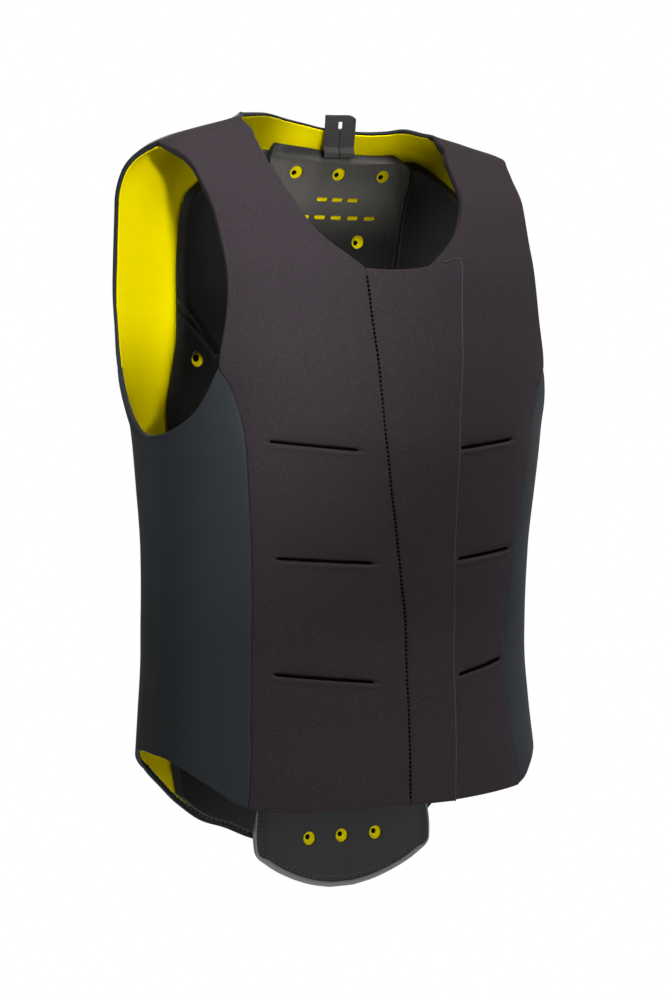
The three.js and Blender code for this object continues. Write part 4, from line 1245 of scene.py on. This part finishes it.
def makeVents():
    plan = ventPlan
    cores, eyes = [], []
    wing = foamPlan["wingHole"]
    spots = [(a, s, backMiddle, (-1.2 * mm, -1.2 * mm), plan["eye"]) for a, s in foamPlan["topHoles"]]
    spots += [(a, s, tailMiddle, (-0.9 * mm, 1.2 * mm), plan["eye"]) for a, s in foamPlan["tailHoles"]]
    spots += [(side * wing[0], wing[1], backMiddle, (-0.4 * mm, 1.2 * mm), plan["wingEye"])
              for side in (-1, 1)]
    radius = foamPlan["holeRadius"] - plan["fit"]
    for angle, share, middle, moved, eye in spots:
        spot, normal = foamSpot(angle, share, middle)
        cores.append(plug(spot, normal, circle(radius), plan["coreThick"], -plan["depth"],
                          circle(eye, moved=moved)))
        eyes.append(plug(spot, normal, circle(eye + 0.8 * mm, moved=moved), 1.0 * mm,
                         -plan["depth"] - plan["coreThick"] - 1.2 * mm))
    for angle, share in foamPlan["slots"]:
        spot, normal = foamSpot(angle, share)
        wide, tall = foamPlan["slot"]
        cores.append(plug(spot, normal, stadium(wide - 2 * plan["fit"], tall - 2 * plan["fit"]),
                          plan["coreThick"], -plan["slotDepth"]))
    core = addPiece("ventCores", *joinMeshes(cores), yellowCloth, "lining")
    core.data.set_sharp_from_angle(angle=math.radians(40))
    addPiece("ventEyes", *joinMeshes(eyes), ventBlackAndPaintedShade, "foam")


makeVents()


# Stitches on the protector's channels and the back's hem.

foamStitchPlan = {
    "inset": 0.9,  # degrees from the wing's seam to the first row
    "rows": ((0.0, 13.3 * mm), (-1.9, 13.8 * mm)),  # further degrees of each row, and its depth
    "seam": (4.0 * mm, 2.4 * mm, 1.0 * mm),  # gap, length and thickness
    "hem": (4.4 * mm, 2.8 * mm, 0.9 * mm),
    "hemUp": 4.6 * mm, "hemDeep": 4.6 * mm,
}


def makeFoamStitches():
    plan = foamStitchPlan
    parts = []
    share = np.linspace(0.04, 0.86, 200)
    for side in (-1, 1):
        angle = backMiddle + side * (foamEdge(1, share) - plan["inset"])
        for beside, deep in plan["rows"]:
            down = foamDown(share, angle) * bodyLength
            points, normals = bodyPoint(angle + side * beside, down, -deep)
            parts += stitchRun(points, -normals, *plan["seam"])
    addPiece("protectorStitches", *joinMeshes(parts), greyThread, "foam")
    u = np.linspace(0.004, 0.996, 300)
    angle, down = backPlace(u, np.full(300, 0.0))
    points, normals = bodyPoint(angle, down - plan["hemUp"], -plan["hemDeep"])
    parts = stitchRun(points, -normals, *plan["hem"])
    addPiece("hemStitches", *joinMeshes(parts), paleThread, "side_cloth")


makeFoamStitches()
print("vents and stitches made")


# The hanger: a loop of ribbed tape with a slit and an eye.

hangerPlan = {
    "wide": 27.6 * mm, "tall": 31 * mm, "thick": 1.6 * mm,
    "slit": 0.9 * mm, "eyeWide": 4.0 * mm, "eyeTall": 5.6 * mm, "eyeTop": 25.4 * mm,
    "turn": 1.5,  # degrees to the wearer's right of the protector's middle
    "low": 0.0238, "seat": 11.0 * mm,  # down share and depth inside the body form where it starts
    "high": 0.0035, "pass": 5.8 * mm,  # and where it passes the neck
    "over": 3.6 * mm, "corner": 8 * mm, "cornerFall": 3.4 * mm, "bow": 0.5 * mm, "rib": 0.25 * mm,
}


def makeHanger():
    plan = hangerPlan
    half, eye, slit = plan["wide"] / 2, plan["eyeWide"] / 2, plan["slit"] / 2
    eyeTop = plan["eyeTop"]
    eyeLow = eyeTop - plan["eyeTall"]
    xs = np.concatenate([[-half, -half + 0.4 * mm], np.linspace(-half + 1.5 * mm, -eye - 1.2 * mm, 7),
                         [-eye, -slit, slit, eye],
                         np.linspace(eye + 1.2 * mm, half - 1.5 * mm, 7), [half - 0.4 * mm, half]])
    hs = np.concatenate([np.arange(-4 * mm, eyeLow - 0.9 * mm, 0.75 * mm), [eyeLow - 0.6 * mm, eyeLow],
                         np.linspace(eyeLow, eyeTop, 9)[1:],
                         np.linspace(eyeTop, plan["tall"], 8)[1:]])
    low = bodyPoint(backMiddle - plan["turn"], plan["low"] * bodyLength, -plan["seat"])[0]
    high = bodyPoint(backMiddle - plan["turn"], plan["high"] * bodyLength, -plan["pass"])[0]
    lean = math.atan2(low[1] - high[1], high[2] - low[2])
    turn = math.radians(-bodyPlan["backTurn"] * 0.3)

    def at(x, h, t):
        corner = max(0.0, x - (half - plan["corner"])) / plan["corner"]
        top = plan["tall"] - plan["cornerFall"] * corner ** 2.4
        if h > eyeTop:
            h = eyeTop + (h - eyeTop) * (top - eyeTop) / (plan["tall"] - eyeTop)
        h += 0.0004 * math.sin(x / half * 1.5)
        t += plan["bow"] * math.sin(math.pi * min(1, max(0, h / plan["tall"])))
        t += plan["over"] * (1 - float(ease(h, -0.5 * mm, 5 * mm)))  # its end lies over the protector's edge
        y, z = -h * math.sin(lean) - t * math.cos(lean), h * math.cos(lean) - t * math.sin(lean)
        return (x * math.cos(turn) - y * math.sin(turn) + low[0],
                x * math.sin(turn) + y * math.cos(turn) + low[1], z + low[2])

    cells = []
    for i in range(len(hs) - 1):
        for j in range(len(xs) - 1):
            x, h = (xs[j] + xs[j + 1]) / 2, (hs[i] + hs[i + 1]) / 2
            if (abs(x) < slit and h < eyeTop) or (abs(x) < eye and eyeLow < h < eyeTop):
                continue
            cells.append((i, j))
    ids, verts, faces = {}, [], []

    def vert(i, j, layer):
        key = (i, j, layer)
        if key not in ids:
            x, h = xs[j], hs[i]
            rib = plan["rib"] * (i % 2)
            edge = 0.35 * mm if j in (0, len(xs) - 1) or i in (0, len(hs) - 1) else 0.0
            t = (plan["thick"] - edge + rib) if layer else edge
            ids[key] = len(verts)
            verts.append(at(x, h, t))
        return ids[key]

    edges = {}
    for i, j in cells:
        loop = [(i, j), (i, j + 1), (i + 1, j + 1), (i + 1, j)]
        faces.append([vert(a, b, 1) for a, b in loop])
        faces.append([vert(a, b, 0) for a, b in loop][::-1])
        for a, b in zip(loop, loop[1:] + loop[:1]):
            edges[(a, b)] = True
    for a, b in edges:
        if (b, a) not in edges:
            faces.append([vert(*a, 0), vert(*b, 0), vert(*b, 1), vert(*a, 1)])
    piece = addPiece("hanger", verts, faces, hangerTape, "webbing", ["hanger_loop"])
    piece.data.set_sharp_from_angle(angle=math.radians(50))


makeHanger()
print("hanger made")


# Studio: pale floor, soft lights.

lightPlan = {
    "key": {"spot": (0.03, -0.48, 0.74), "aim": (-0.03, -0.05, -0.1), "size": 0.35, "power": 12.5},
    "low": {"spot": (0.5, -2.5, -0.15), "aim": (0, 0, -0.35), "size": 1.3, "power": 25},
    "left": {"spot": (-2.4, -0.75, -0.1), "aim": (0, 0, -0.3), "size": 1.2, "power": 14},
    "rear": {"spot": (0.4, 2.4, 0.6), "aim": (0, 0, -0.3), "size": 1.8, "power": 34},
    "right": {"spot": (2.4, 0.2, 0.3), "aim": (0, 0, -0.3), "size": 1.6, "power": 14},
    "accent": {"spot": (-0.62, -2.40, 0.0), "aim": (-0.235, 0.06, -0.145), "size": 0.25, "power": 2000,
               "cone": 5.5},
}
ambient = 0.15  # light of the white surround, against 1 as the camera sees it
floorPlan = {"radius": 1.2, "height": -1.5}


def makeStudio():
    for name, plan in lightPlan.items():
        light = bpy.data.lights.new(name, "SPOT" if "cone" in plan else "AREA")
        light.energy = plan["power"]
        if "cone" in plan:
            light.spot_size, light.spot_blend = math.radians(plan["cone"]), 1.0
            light.shadow_soft_size = plan["size"]
        else:
            light.shape, light.size = "DISK", plan["size"]
        lamp = bpy.data.objects.new(name, light)
        bpy.context.scene.collection.objects.link(lamp)
        lamp.location = plan["spot"]
        lamp.rotation_mode = "QUATERNION"
        lamp.rotation_quaternion = (Vector(plan["aim"]) - lamp.location).to_track_quat("-Z", "Y")
    world = bpy.data.worlds.new("studio")
    bpy.context.scene.world = world
    world.use_nodes = True
    sky = Nodes(world.node_tree)
    seen = sky.make("LightPath", {}, {}, "Is Camera Ray")
    back = sky.make("Background", {}, {"Color": (1.0, 1.0, 1.0), "Strength": seen * (1 - ambient) + ambient})
    sky.make("OutputWorld", {}, {"Surface": back})
    floorMesh = bpy.data.meshes.new("floor")
    ring = [(*spot, floorPlan["height"]) for spot in circle(floorPlan["radius"], 96)]
    floorMesh.from_pydata(ring, [], [list(range(96))])
    floor = bpy.data.objects.new("floor", floorMesh)
    bpy.context.scene.collection.objects.link(floor)
    f = Finish("paleFloor")
    grain = f.noise(f.spot, 3.0)
    surface = f.make("BsdfPrincipled", {}, {
        "Base Color": f.blend(grain, (0.88, 0.88, 0.88), (0.9, 0.9, 0.9)), "Roughness": 0.9,
        "Emission Color": (1.0, 1.0, 1.0), "Emission Strength": 0.25})
    f.make("OutputMaterial", {}, {"Surface": surface})
    floorMesh.materials.append(f.material)
    bpy.context.scene.view_settings.view_transform = "Standard"


makeStudio()

print("studio made")
